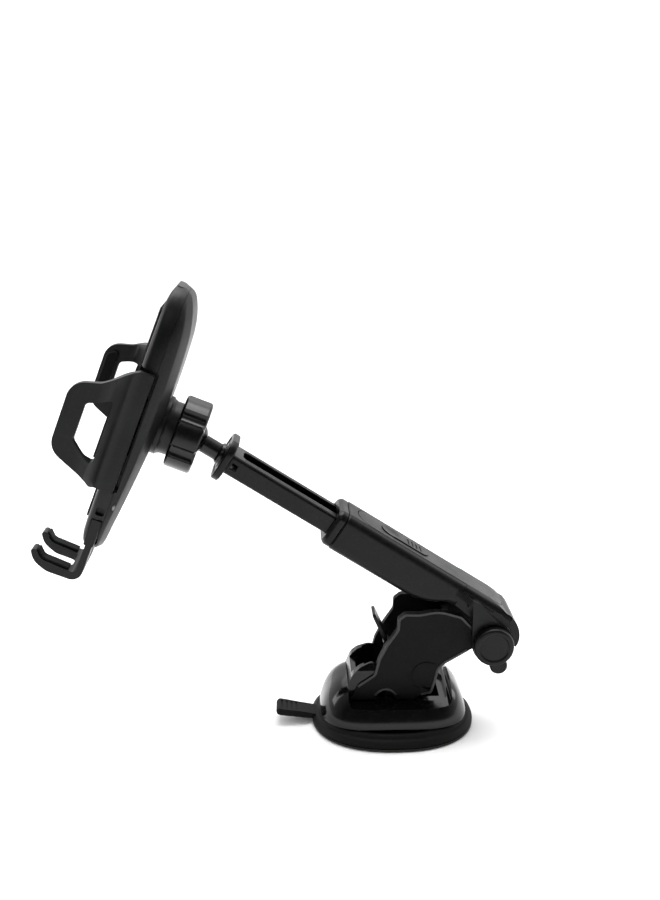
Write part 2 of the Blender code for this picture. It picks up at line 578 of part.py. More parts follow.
def build_clamps(cradle, matte, rubber):
    mid = ARM_PLATE / 2
    line = [(20.4, 26.5), (28.4, 26.8), (35.0, 39.5), (49.6, 39.5)]
    outer = rounded([(line[0][0], line[0][1] + mid, 0), (line[1][0] - 0.8, line[1][1] + mid, 3),
                     (line[2][0] - 0.8, line[2][1] + mid, 4), (line[3][0], line[3][1] + mid, 0)])
    inner = rounded([(line[3][0], line[3][1] - mid, 0), (line[2][0] + 0.8, line[2][1] - mid, 2.5),
                     (line[1][0] + 0.8, line[1][1] - mid, 4), (line[0][0], line[0][1] - mid, 0)])
    for side, word in ((-1, "far"), (1, "near")):
        bent = [(n, y * side) for n, y in outer + inner]
        arm = prism(f"clamp_arm_{word}", cradle, matte, bent, "z", -30, 30)
        span = sorted((side * 20, side * 45))
        use_boolean(arm, prism(f"arm_outline_{word}", cradle, None, arm_outline(), "y", *span), "INTERSECT")
        window = rounded([(31.6, -15.2, 0.8), (41.2, -6.4, 2), (41.2, 9.6, 2.5), (31.6, 13.6, 1.5)])
        cut(arm, prism(f"arm_window_{word}", cradle, None, window, "y", *span))
        rack = [(y * side, u * side) for y, u in rack_outline()]
        join(arm, prism(f"rack_form_{word}", cradle, None, rack, "x", *RACK_N))
        frame = rounded([(42.6, -12.0, 2), (47.6, -9.4, 3), (47.6, 12.0, 3.5), (42.6, 15.0, 2)])
        pad_span = sorted((side * (38.0 - GAP), side * 36.2))
        prism(f"clamp_pad_{word}", cradle, rubber, frame, "y", *pad_span)


def gear_outline():
    """Involute pinion in (y, u) with a tooth pointing up the long axis."""
    base = GEAR_PITCH_R * cos(radians(20))
    half = (pi * GEAR_MODULE / 2 - 0.6) / (2 * GEAR_PITCH_R)
    outline = []

    def involute(radius):
        lean = acos(min(1.0, base / radius))
        return tan(lean) - lean

    radii = (4.9, 5.7, 6.3, 6.8)
    for tooth in range(GEAR_TEETH):
        middle = pi / 2 + 2 * pi * tooth / GEAR_TEETH
        flank = [(r, half + involute(GEAR_PITCH_R) - involute(max(r, base))) for r in radii]
        for r, spread in flank:
            outline.append((r * cos(middle - spread), r * sin(middle - spread)))
        for r, spread in reversed(flank):
            outline.append((r * cos(middle + spread), r * sin(middle + spread)))
    return outline


def build_clamp_drive(cradle, matte, nylon, steel):
    gear = prism("clamp_pinion", cradle, nylon, gear_outline(), "x", 20.4, 22.8)
    cut(gear, rod("gear_bore", cradle, None, "x", (0, 0, 0), 2.3, 10, 30, 16))

    turns, radius, wire = 3.0, 4.6, 0.4
    curve = bpy.data.curves.new("opening_spring", "CURVE")
    curve.dimensions = "3D"
    curve.bevel_depth = wire * MM
    curve.bevel_resolution = 1
    curve.use_fill_caps = True
    line = curve.splines.new("POLY")
    count = int(turns * 12)
    line.points.add(count)
    for i in range(count + 1):
        angle = 2 * pi * turns * i / count
        spot = Vector((16.9 + 2.7 * i / count, radius * cos(angle), radius * sin(angle))) * MM
        line.points[i].co = (*spot, 1.0)
    spring = bpy.data.objects.new("opening_spring", curve)
    bpy.context.collection.objects.link(spring)
    spring.parent = cradle
    curve.materials.append(steel)

    head = block("release_button", cradle, matte, (20.9, 25.1), (16.5, 22.3), (-55.1, -42.9))
    join(head, block("tail_form", cradle, None, (21.0, 24.2), (15.4, 17.3), (-54.0, -31.0)))

    pawl_frame = bpy.data.objects.new("pawl_frame", None)
    bpy.context.collection.objects.link(pawl_frame)
    pawl_frame.parent = cradle
    pawl_frame.location = Vector((0, 2.0, -22.0)) * MM
    crank = rounded([(-2.2, -1.5, 1.5), (1.0, -2.6, 1), (11.2, -11.2, 0.6), (12.9, -9.4, 0.6), (3.0, 0.2, 1.5),
                     (5.2, 8.2, 0.5), (3.2, 8.6, 0.5), (0.8, 3.0, 1.5), (-2.2, 1.8, 1.5)])
    pawl = prism("clamp_pawl", pawl_frame, steel, crank, "x", 20.8, 22.6)
    cut(pawl, rod("pawl_bore", pawl_frame, None, "x", (0, 0, 0), 1.4, 10, 30, 12))


def build_foot(foot, matte, rubber):
    side_view = rounded([(21.8, -46, 0), (21.8, -77.2, 5), (37.0, -77.0, 8), (43.2, -74.4, 8), (46.2, -69.6, 1.4),
                         (43.8, -68.4, 1.4), (40.8, -72.4, 5), (24.8, -73.6, 2), (24.8, -46, 0)])
    bracket = prism("foot_bracket", foot, matte, side_view, "y", -PRONG_Y[1], PRONG_Y[1], 40)
    cut(bracket,
        block("prong_gap", foot, None, (26.6, 60), (-PRONG_Y[0], PRONG_Y[0]), (-90, -60)),
        block("plate_slot", foot, None, (10, 26), (-3.2, 3.2), (-71.5, -64.0)))
    for side, word in ((-1, "far"), (1, "near")):
        y = sorted((side * (PRONG_Y[0] + 0.6), side * (PRONG_Y[1] - 0.6)))
        strip = [(28.0, -73.1), (39.0, -72.2), (39.0, -71.1), (28.0, -72.0)]
        prism(f"foot_pad_{word}", foot, rubber, strip, "y", *y)


# ---------------------------------------------------------------- assembly

def main():
    for thing in list(bpy.data.objects):
        bpy.data.objects.remove(thing, do_unlink=True)

    gloss = finish("gloss_black", (0.012, 0.012, 0.013), 0.22)
    matte = finish("matte_black", (0.016, 0.016, 0.017), 0.50)
    rubber = finish("black_rubber", (0.014, 0.014, 0.015), 0.70)
    gel = finish("black_gel", (0.020, 0.020, 0.021), 0.35)
    nylon = finish("grey_nylon", (0.10, 0.10, 0.105), 0.55)
    steel = finish("dark_steel", (0.18, 0.18, 0.19), 0.35, 1.0)

    world = body_frame("base_frame", (0, 0, 0), reach_left=False)
    arm = body_frame("arm_frame", PIVOT, ARM_ANGLE)
    slide = body_frame("slide_frame", PIVOT, ARM_ANGLE)
    lean = radians(ARM_ANGLE)
    ball = (PIVOT[0] - BALL_ALONG * cos(lean) + (ARM_MID_T - 0.1) * sin(lean), 0.0,
            PIVOT[2] + BALL_ALONG * sin(lean) + (ARM_MID_T - 0.1) * cos(lean))
    cradle = body_frame("cradle_frame", ball, CRADLE_TILT)
    foot = body_frame("foot_frame", ball, CRADLE_TILT)

    build_base(world, gloss, matte, rubber, gel, steel)
    build_outer_arm(arm, matte, gloss)
    build_telescope(slide, gloss, matte, steel)
    build_pivot(arm, matte, steel, nylon)
    build_ball_joint(cradle, nylon, gloss)
    build_covers(cradle, matte, rubber, steel)
    build_clamps(cradle, matte, rubber)
    build_clamp_drive(cradle, matte, nylon, steel)
    build_foot(foot, matte, rubber)
    bpy.context.view_layer.update()


main()
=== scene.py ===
"""Looks of a car phone mount: suction base, lock lever, pivoting telescoping arm, ball joint and cradle.

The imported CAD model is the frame. Shapes are given in millimetres in four local frames taken from its joints.
BASE and LEVER have the world's axes, with the near side at -Y. In ARM x runs along the arm and z is its upper
side. In CRADLE x points forwards and z up the long axis. In ARM and CRADLE y points to the near side.
"""

import json
from math import acos, asin, atan2, cos, degrees, pi, radians, sin, sqrt, tan

import bmesh
import bpy
from mathutils import Matrix, Vector


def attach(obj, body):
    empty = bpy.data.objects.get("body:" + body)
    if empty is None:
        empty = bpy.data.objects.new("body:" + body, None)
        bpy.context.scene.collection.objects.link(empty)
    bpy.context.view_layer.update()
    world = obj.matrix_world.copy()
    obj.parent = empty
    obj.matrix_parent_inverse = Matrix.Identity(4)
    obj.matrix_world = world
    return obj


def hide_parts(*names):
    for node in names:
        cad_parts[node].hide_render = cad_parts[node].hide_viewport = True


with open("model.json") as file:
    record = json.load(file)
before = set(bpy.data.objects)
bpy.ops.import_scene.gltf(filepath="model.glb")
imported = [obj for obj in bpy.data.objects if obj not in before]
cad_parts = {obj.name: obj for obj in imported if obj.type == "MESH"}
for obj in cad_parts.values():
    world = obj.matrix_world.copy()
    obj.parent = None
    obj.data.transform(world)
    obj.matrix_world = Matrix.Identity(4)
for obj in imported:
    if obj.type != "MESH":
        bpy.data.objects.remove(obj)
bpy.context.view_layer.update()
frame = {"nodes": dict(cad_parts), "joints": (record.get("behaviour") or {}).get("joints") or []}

MM = 0.001
GAP = 0.3                      # clearance between pieces that touch
ARC_STEP = 7.5                 # finest turn between two points of a rounded corner, degrees

# Base
CUP_HALF = (37.8, 30.8)
HOUSING_HALF = (34.0, 24.2)
PLATEAU = 15.5
CHEEK_IN, CHEEK_OUT = 9.2, 12.2
LUG_R = 8.0
AXLE_R = 2.0
BLADE_HALF = 5.2
CUP_POWER, HOUSING_POWER = 2.3, 3.2     # squareness of the ovals
HIGHLIGHT_FROM, HIGHLIGHT_WIDTH = 17.4, 1.1         # lighter strip of painted highlight along the yoke's upper edges: lowest point and width

# Arm
TUBE_HALF, TUBE_TOP, TUBE_FRONT = 12.0, 15.6, 86.5
INNER_HALF, INNER_LOW, INNER_HIGH = 9.2, 2.0, 11.35
INNER_START, INNER_END = 73.0, 143.2
EAR_IN, EAR_OUT = 13.4, 16.0
HOOD_IN, HOOD_OUT = 11.3, 14.2
BUTTON_SPAN = (44.0, 69.0)
FLANGE_HALF = 11.5
KNOB_R, KNOB_HIGH = 9.0, 20.4
STEM_Z = 6.5
BALL_ALONG, BALL_R = 164.0, 8.5
LOBES = 6

# Cradle
SPLIT = 20.1
FACE_N = 27.3
HOUSING_U = (-62.0, 60.0)
HOUSING_W = 24.5
RECESS_W = 16.5
RECESS_U = (-28.5, 26.5)
ARM_PLATE = 3.0
PRONG_Y = (7.0, 13.0)
COVER_POWER = 3.2              # squareness of its outline
FAR_OUT = 40.0                 # beyond the cradle's side


# ---------------------------------------------------------------- frames from the joints

JOINTS = {joint["name"]: joint for joint in frame["joints"]}


def axis_of(name):
    return Vector(JOINTS[name]["axis"])


def local_frame(joint, forward, upward):
    """Matrix from millimetres in a local frame to metres in the world."""
    turn = Matrix((forward, upward.cross(forward), upward)).transposed().to_4x4()
    return Matrix.Translation(Vector(JOINTS[joint]["pos_m"])) @ turn @ Matrix.Scale(MM, 4)


BASE = Matrix.Scale(MM, 4)
LEVER = Matrix.Translation(Vector(JOINTS["lock_lever_swing"]["pos_m"])) @ BASE
ARM = local_frame("arm_pivot", axis_of("arm_extension"), -axis_of("arm_button_press"))
CRADLE = local_frame("ball_tilt", axis_of("ball_spin"), axis_of("ball_yaw"))
PIVOT = Vector(JOINTS["arm_pivot"]["pos_m"]) / MM
AXLE = Vector(JOINTS["lock_lever_swing"]["pos_m"]) / MM


# ---------------------------------------------------------------- outlines

def arc(centre, radius, start, end, step=ARC_STEP):
    """Points on an arc, angles in degrees."""
    steps = max(2, round(abs(end - start) / step))
    spread = [radians(start + (end - start) * i / steps) for i in range(steps + 1)]
    return [(centre[0] + radius * cos(a), centre[1] + radius * sin(a)) for a in spread]


def rounded(corners, step=ARC_STEP):
    """An outline whose corners, given as (x, y, radius), become arcs."""
    outline = []
    for k, (x, y, radius) in enumerate(corners):
        here = Vector((x, y))
        before = Vector(corners[k - 1][:2]) - here
        after = Vector(corners[(k + 1) % len(corners)][:2]) - here
        opening = before.angle(after)
        if radius <= 0.0 or opening > pi - 0.02:
            outline.append((x, y))
            continue
        reach = min(radius / tan(opening / 2), 0.49 * before.length, 0.49 * after.length)
        radius = reach * tan(opening / 2)
        centre = here + (before.normalized() + after.normalized()).normalized() * (radius / sin(opening / 2))
        start = here + before.normalized() * reach - centre
        end = here + after.normalized() * reach - centre
        turn = start.angle_signed(end)
        steps = max(1, round(abs(degrees(turn)) / step))
        angle = atan2(start.y, start.x)
        outline += [(centre.x + radius * cos(angle - turn * i / steps),
                     centre.y + radius * sin(angle - turn * i / steps)) for i in range(steps + 1)]
    return outline


def rounded_box(half, low, high, radius):
    return rounded([(-half, low, radius), (half, low, radius), (half, high, radius), (-half, high, radius)])


def stadium(x_low, x_high, half):
    return rounded([(x_low, -half, half), (x_high, -half, half), (x_high, half, half), (x_low, half, half)])


def band(side, near, far):
    """The stretch between two distances from the middle plane, on the side given as -1 or 1."""
    return sorted((side * near, side * far))


def oval(half, power, count=144):
    """A superellipse."""
    outline = []
    for i in range(count):
        c, s = cos(2 * pi * i / count), sin(2 * pi * i / count)
        reach = (abs(c) ** power + abs(s) ** power) ** (-1 / power)
        outline.append((half[0] * c * reach, half[1] * s * reach))
    return outline


def placed(pair, along, value):
    """A 2-D point of an outline, put at a value along the third axis."""
    first, second = pair
    return {"x": (value, first, second), "y": (first, value, second), "z": (first, second, value)}[along]


def ring_at(outline, along, value):
    return [placed(pair, along, value) for pair in outline]


def glide(value, table):
    """A smooth curve through a list of (position, value) pairs."""
    spots = [spot for spot, _ in table]
    index = max(0, min(len(table) - 2, sum(1 for spot in spots if spot <= value) - 1))

    def slope(k):
        low, high = max(0, k - 1), min(len(table) - 1, k + 1)
        return (table[high][1] - table[low][1]) / (table[high][0] - table[low][0])

    (a, va), (b, vb) = table[index], table[index + 1]
    t = max(0.0, min(1.0, (value - a) / (b - a)))
    return (va * (1 + 2 * t) * (1 - t) ** 2 + slope(index) * (b - a) * t * (1 - t) ** 2
            + vb * t * t * (3 - 2 * t) - slope(index + 1) * (b - a) * t * t * (1 - t))


# ---------------------------------------------------------------- forms and booleans

def form(place, points, faces):
    """A closed mesh object made of points in millimetres, with its faces turned outwards."""
    mesh = bpy.data.meshes.new("form")
    mesh.from_pydata([place @ Vector(point) for point in points], [], faces)
    shape = bmesh.new()
    shape.from_mesh(mesh)
    bmesh.ops.recalc_face_normals(shape, faces=shape.faces)
    shape.to_mesh(mesh)
    shape.free()
    thing = bpy.data.objects.new("form", mesh)
    bpy.context.scene.collection.objects.link(thing)
    return thing


def loft(place, rings):
    """A closed skin over rings that all have the same number of points."""
    count = len(rings[0])
    points = [point for ring in rings for point in ring]
    faces = [list(range(count)), list(range(len(points) - count, len(points)))]
    for level in range(len(rings) - 1):
        low = level * count
        for i in range(count):
            j = (i + 1) % count
            faces.append([low + i, low + j, low + count + j, low + count + i])
    return form(place, points, faces)


def prism(place, outline, along, low, high):
    return loft(place, [ring_at(outline, along, low), ring_at(outline, along, high)])


def block(place, x, y, z):
    return prism(place, [(x[0], y[0]), (x[1], y[0]), (x[1], y[1]), (x[0], y[1])], "z", *z)


def turned(place, profile, along, centre=(0.0, 0.0, 0.0), sides=72):
    """A closed profile of (radius, height) turned round an axis through centre."""
    points, rings = [], []
    for radius, height in profile:
        if radius < 1e-6:
            spots = [(0.0, 0.0)]
        else:
            turns = [2 * pi * i / sides for i in range(sides)]
            spots = [(radius * cos(turn), radius * sin(turn)) for turn in turns]
        rings.append(range(len(points), len(points) + len(spots)))
        for spot in spots:
            offset = placed(spot, along, height)
            points.append([centre[k] + offset[k] for k in range(3)])
    faces = []
    for k in range(len(rings)):
        one, two = rings[k], rings[(k + 1) % len(rings)]
        if len(one) == len(two) == 1:
            continue
        for i in range(sides):
            j = (i + 1) % sides
            face = [one[i % len(one)], one[j % len(one)], two[j % len(two)], two[i % len(two)]]
            faces.append(list(dict.fromkeys(face)))
    return form(place, points, faces)


def rod(place, along, centre, radius, low, high, sides=48):
    return turned(place, [(0.0, low), (radius, low), (radius, high), (0.0, high)], along, centre, sides)


def shaped(thing, operation, *others):
    """Applies a boolean with each of the other forms, which are used up."""
    for other in others:
        change = thing.modifiers.new("shape", "BOOLEAN")
        change.operation = operation
        change.solver = "EXACT"
        change.object = other
        depsgraph = bpy.context.evaluated_depsgraph_get()
        mesh = bpy.data.meshes.new_from_object(thing.evaluated_get(depsgraph))
        thing.modifiers.remove(change)
        thing.data = mesh
        bpy.data.objects.remove(other)
    return thing


def cut(thing, *others):
    return shaped(thing, "DIFFERENCE", *others)


def join(thing, *others):
    return shaped(thing, "UNION", *others)


def keep(thing, other):
    return shaped(thing, "INTERSECT", other)


def tidy_mesh(thing):
    """Merges the doubled points and drops the dead edges that booleans leave."""
    shape = bmesh.new()
    shape.from_mesh(thing.data)
    bmesh.ops.remove_doubles(shape, verts=shape.verts, dist=0.004 * MM)
    bmesh.ops.dissolve_degenerate(shape, edges=shape.edges, dist=0.01 * MM)
    shape.to_mesh(thing.data)
    shape.free()


def piece(thing, name, body, look, replaces=(), edge=0.0, segments=3, sharp=32.0):
    """Names a form, rounds its edges, gives it its finish and lets it ride on a CAD body."""
    tidy_mesh(thing)
    thing.name = thing.data.name = name
    thing.data.materials.clear()
    thing.data.materials.append(look)
    thing.data.shade_smooth()
    if edge:
        bevel = thing.modifiers.new("rounded_edges", "BEVEL")
        bevel.width = edge * MM
        bevel.segments = segments
        bevel.limit_method = "ANGLE"
        bevel.angle_limit = radians(sharp)
        bevel.use_clamp_overlap = True
        weigh = thing.modifiers.new("even_shading", "WEIGHTED_NORMAL")
        weigh.keep_sharp = True
    else:
        thing.data.set_sharp_from_angle(angle=radians(sharp))
    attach(thing, body)
    if replaces:
        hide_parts(*replaces)
    return thing


# ---------------------------------------------------------------- finishes

WORN = (0.010, 0.010, 0.0105)     # colour of handled spots


def shader_material(name, colour, roughness, specular, coat=0.0, metallic=0.0):
    material = bpy.data.materials.new(name)
    material.use_nodes = True
    shader = material.node_tree.nodes["Principled BSDF"]
    shader.inputs["Base Color"].default_value = (*colour, 1.0)
    shader.inputs["Roughness"].default_value = roughness
    shader.inputs["Specular IOR Level"].default_value = specular
    shader.inputs["Coat Weight"].default_value = coat
    shader.inputs["Coat Roughness"].default_value = 0.08
    shader.inputs["Metallic"].default_value = metallic
    return material


def noise(tree, position, scale, detail, roughness=0.6):
    node = tree.nodes.new("ShaderNodeTexNoise")
    node.inputs["Scale"].default_value = scale
    node.inputs["Detail"].default_value = detail
    node.inputs["Roughness"].default_value = roughness
    tree.links.new(position, node.inputs["Vector"])
    return node.outputs["Fac"]


def spread(tree, value, low, high, start=0.3, end=0.7):
    """Maps a texture value to a range."""
    node = tree.nodes.new("ShaderNodeMapRange")
    for socket, number in (("From Min", start), ("From Max", end), ("To Min", low), ("To Max", high)):
        node.inputs[socket].default_value = number
    tree.links.new(value, node.inputs["Value"])
    return node.outputs["Result"]


def blended(tree, factor, one, two):
    node = tree.nodes.new("ShaderNodeMix")
    node.data_type = "RGBA"
    node.inputs["A"].default_value = (*one, 1.0)
    node.inputs["B"].default_value = (*two, 1.0)
    tree.links.new(factor, node.inputs["Factor"])
    return node.outputs["Result"]


def moulded(name, colour, roughness, specular, grain, depth, spread_of=0.07, coat=0.0, wear=WORN, pits=0.0):
    """Moulded plastic or rubber with fine grain, slow changes of gloss, handling haze and lighter worn spots.
    grain is in waves per metre, depth and pits are heights in millimetres."""
    material = shader_material(name, colour, roughness, specular, coat)
    tree = material.node_tree
    shader = tree.nodes["Principled BSDF"]
    position = tree.nodes.new("ShaderNodeTexCoord").outputs["Object"]
    haze = noise(tree, position, 45.0, 3.0)
    scuffs = noise(tree, position, 700.0, 5.0, 0.7)
    fine = noise(tree, position, grain, 2.0, 0.5)
    tint = spread(tree, scuffs, 0.0, 1.0, 0.52, 0.85)
    tree.links.new(blended(tree, tint, colour, wear), shader.inputs["Base Color"])
    gloss = spread(tree, haze, roughness - spread_of, roughness + spread_of)
    rub = spread(tree, scuffs, -0.03, 0.05)
    total = tree.nodes.new("ShaderNodeMath")
    total.operation = "ADD"
    tree.links.new(gloss, total.inputs[0])
    tree.links.new(rub, total.inputs[1])
    tree.links.new(total.outputs["Value"], shader.inputs["Roughness"])
    bump = tree.nodes.new("ShaderNodeBump")
    bump.inputs["Strength"].default_value = 1.0
    bump.inputs["Distance"].default_value = depth * MM
    tree.links.new(fine, bump.inputs["Height"])
    if pits:
        cells = tree.nodes.new("ShaderNodeTexVoronoi")
        cells.inputs["Scale"].default_value = 1900.0
        tree.links.new(position, cells.inputs["Vector"])
        coarse = tree.nodes.new("ShaderNodeBump")
        coarse.inputs["Distance"].default_value = pits * MM
        tree.links.new(cells.outputs["Distance"], coarse.inputs["Height"])
        tree.links.new(coarse.outputs["Normal"], bump.inputs["Normal"])
    tree.links.new(bump.outputs["Normal"], shader.inputs["Normal"])
    return material


def plated(name, colour, roughness):
    """Dark plated steel with fine turned lines."""
    material = shader_material(name, colour, roughness, 0.5, metallic=1.0)
    tree = material.node_tree
    shader = tree.nodes["Principled BSDF"]
    position = tree.nodes.new("ShaderNodeTexCoord").outputs["Object"]
    stretch = tree.nodes.new("ShaderNodeMapping")
    stretch.inputs["Scale"].default_value = (1.0, 0.12, 1.0)
    tree.links.new(position, stretch.inputs["Vector"])
    lines = noise(tree, stretch.outputs["Vector"], 2600.0, 3.0)
    stain = noise(tree, position, 300.0, 3.0)
    tree.links.new(spread(tree, lines, roughness - 0.1, roughness + 0.12), shader.inputs["Roughness"])
    darker = tuple(0.6 * channel for channel in colour)
    tree.links.new(blended(tree, stain, darker, colour), shader.inputs["Base Color"])
    bump = tree.nodes.new("ShaderNodeBump")
    bump.inputs["Distance"].default_value = 0.006 * MM
    tree.links.new(lines, bump.inputs["Height"])
    tree.links.new(bump.outputs["Normal"], shader.inputs["Normal"])
    return material


GLOSS = moulded("polished_shell", (0.0016, 0.0016, 0.0019), 0.13, 0.28, 900.0, 0.002,
                spread_of=0.03, coat=0.05)
TEXTURED = moulded("spark_texture", (0.0034, 0.0035, 0.0036), 0.62, 0.13, 2600.0, 0.030,
                   spread_of=0.04, pits=0.035)
# Lighter than the yoke's own plastic: painted highlight for the yoke's upper edges, not wear.
PAINTED_HIGHLIGHT = moulded("painted_highlight_rim", (0.0130, 0.0132, 0.0134), 0.36, 0.45, 3200.0, 0.008)
SATIN = moulded("satin_shell", (0.0020, 0.0020, 0.0024), 0.34, 0.19, 4200.0, 0.006)
TUBE = moulded("drawn_tube", (0.0018, 0.0018, 0.0022), 0.28, 0.20, 4200.0, 0.005)
NUT = moulded("glossy_nut", (0.0020, 0.0020, 0.0022), 0.20, 0.32, 1500.0, 0.004, spread_of=0.04)
CRADLE_SKIN = moulded("cradle_shell", (0.0024, 0.0025, 0.0027), 0.38, 0.22, 4200.0, 0.009)
RUBBER = moulded("skirt_rubber", (0.0034, 0.0036, 0.0034), 0.55, 0.10, 2800.0, 0.012)
PAD = moulded("pad_rubber", (0.0030, 0.0030, 0.0030), 0.68, 0.12, 2400.0, 0.016)
GEL = moulded("sticky_gel", (0.0050, 0.0050, 0.0055), 0.32, 0.24, 700.0, 0.010)
NYLON = moulded("inner_nylon", (0.030, 0.030, 0.031), 0.5, 0.5, 2600.0, 0.010,
                wear=(0.05, 0.05, 0.05))
STEEL = plated("plated_steel", (0.20, 0.20, 0.21), 0.34)


# ---------------------------------------------------------------- base

def cup_ring(inset, z):
    return ring_at(oval((CUP_HALF[0] - inset, CUP_HALF[1] - inset), CUP_POWER), "z", z)


def housing_ring(inset, z):
    return ring_at(oval((HOUSING_HALF[0] - inset, HOUSING_HALF[1] - inset), HOUSING_POWER), "z", z)


def build_gel():
    steps = [(0.3, 0.0), (0.05, 0.15), (0.0, 0.6), (0.1, 1.1), (0.4, 1.2)]
    gel = loft(BASE, [cup_ring(inset, z) for inset, z in steps])
    piece(gel, "gel_sheet", "base", GEL, ["gel_pad"])


def build_cup():
    """Rubber skirt with the pull tab that breaks its seal."""
    skirt = [(0.3, 1.5), (0.0, 1.7), (0.0, 2.1), (0.5, 2.7), (1.6, 3.8), (2.3, 4.25), (2.7, 4.3), (3.0, 4.5),
             (3.4, 5.1), (4.0, 5.75), (4.6, 6.05), (5.3, 6.1), (5.7, 5.9), (6.0, 5.5), (6.3, 5.2), (9.0, 5.2)]
    cup = loft(BASE, [cup_ring(inset, z) for inset, z in skirt])
    side = [(-33.0, 1.8, 0), (-41.0, 2.0, 8), (-54.2, 4.2, 1.2), (-54.8, 6.4, 1.6), (-53.2, 7.4, 1.2),
            (-40.5, 5.0, 8), (-33.0, 3.2, 0)]
    top = [(-30.0, -4.3, 0), (-44.0, -4.3, 4), (-50.0, -4.8, 4), (-55.0, -4.8, 4.6),
           (-55.0, 4.8, 4.6), (-50.0, 4.8, 4), (-44.0, 4.3, 4), (-30.0, 4.3, 0)]
    tab = prism(BASE, rounded(side), "y", -4.8, 4.8)
    keep(tab, prism(BASE, rounded(top), "z", 0.0, 10.0))
    lean = BASE @ Matrix.Translation((-47.0, 0.0, 6.25)) @ Matrix.Rotation(radians(10), 4, "Y")
    cut(tab, *[block(lean, (x, x + 0.9), (-3.4, 3.4), (-0.45, 2.0)) for x in (-5.5, -3.2, -0.9, 1.4)])
    piece(join(cup, tab), "rubber_skirt", "base", RUBBER, ["suction_cup"], 0.35, 2, 38)


def build_housing():
    """Glossy dome, cut down to a ledge that leaves two humps, with a well for the yoke."""
    steps = [(0.35, 6.5), (0.05, 6.75), (0.0, 7.3), (0.1, 8.2), (0.45, 9.8), (0.9, 11.2), (1.4, 12.7),
             (2.0, 14.3), (2.8, 16.0), (3.8, 17.8), (5.2, 19.7), (7.0, 21.5), (9.2, 22.9), (11.6, 23.7),
             (14.0, 24.0)]
    housing = loft(BASE, [housing_ring(inset, z) for inset, z in steps])
    ledge = rounded([(-21.2, PLATEAU, 2.2), (26.0, PLATEAU, 2.2), (27.4, 40.0, 0), (-21.9, 40.0, 0)])
    well = rounded([(-20.8, -13.4, 3), (24.6, -13.4, 5), (24.6, 13.4, 5), (-20.8, 13.4, 3)])
    cut(housing,
        prism(BASE, ledge, "y", -40.0, 40.0),
        prism(BASE, well, "z", 13.6, 20.0),
        block(BASE, (-6.4, 21.5), (-6.4, 6.4), (5.0, 20.0)))
    piece(housing, "glossy_housing", "base", GLOSS, ["base_housing"], 1.2, 5, 30)


def yoke_outline():
    """Side view of a cheek, (x, z): its points are written from the arm's pivot."""
    rel = rounded([
        (-64.0, -29.2, 0), (-60.3, -21.6, 3), (-53.0, -16.4, 2.5), (-51.2, -9.0, 8), (-48.0, -2.2, 12),
        (-42.8, 5.8, 3), (-42.6, 11.0, 2.2), (-39.4, 13.6, 2.5), (-33.0, 13.4, 5), (-24.0, 15.0, 16),
        (-13.6, 11.8, 3), (-9.0, 6.6, 0)])
    rel += arc((0, 0), LUG_R, 130, -155)
    rel += rounded([(-10.5, -5.2, 0), (-20.6, -11.4, 3), (-23.4, -14.2, 3), (-24.6, -20.0, 4),
                    (-26.4, -26.6, 2), (-31.0, -27.4, 2), (-36.0, -29.2, 0)])
    rel += arc((-47.6, -29.2), 4.6, 0, 180)
    return [(PIVOT.x + x, PIVOT.z + z) for x, z in rel]


def inner_outline(outline, inset):
    """The outline moved inwards by inset, or outwards where that is negative."""
    area = sum(x * outline[k - 1][1] - y * outline[k - 1][0] for k, (x, y) in enumerate(outline))
    inwards = inset if area > 0 else -inset
    moved = []
    for k, point in enumerate(outline):
        here = Vector(point)
        before = (here - Vector(outline[k - 1])).normalized()
        after = (Vector(outline[(k + 1) % len(outline)]) - here).normalized()
        along = (before + after).normalized()
        moved.append(tuple(here + Vector((along.y, -along.x)) * inwards))
    return moved


def edge_strips(outline, width):
    """Narrow strips just inside the yoke's outline, along its upper free edges, which carry the painted
    highlight.
    """
    strips, run = [], []
    for spot, partner in zip(outline, inner_outline(outline, width)):
        if spot[1] > HIGHLIGHT_FROM and spot[0] < PIVOT.x - LUG_R:
            run.append((spot, partner))
        elif run:
            strips.append([outer for outer, _ in run] + [inner for _, inner in reversed(run)])
            run = []
    return strips


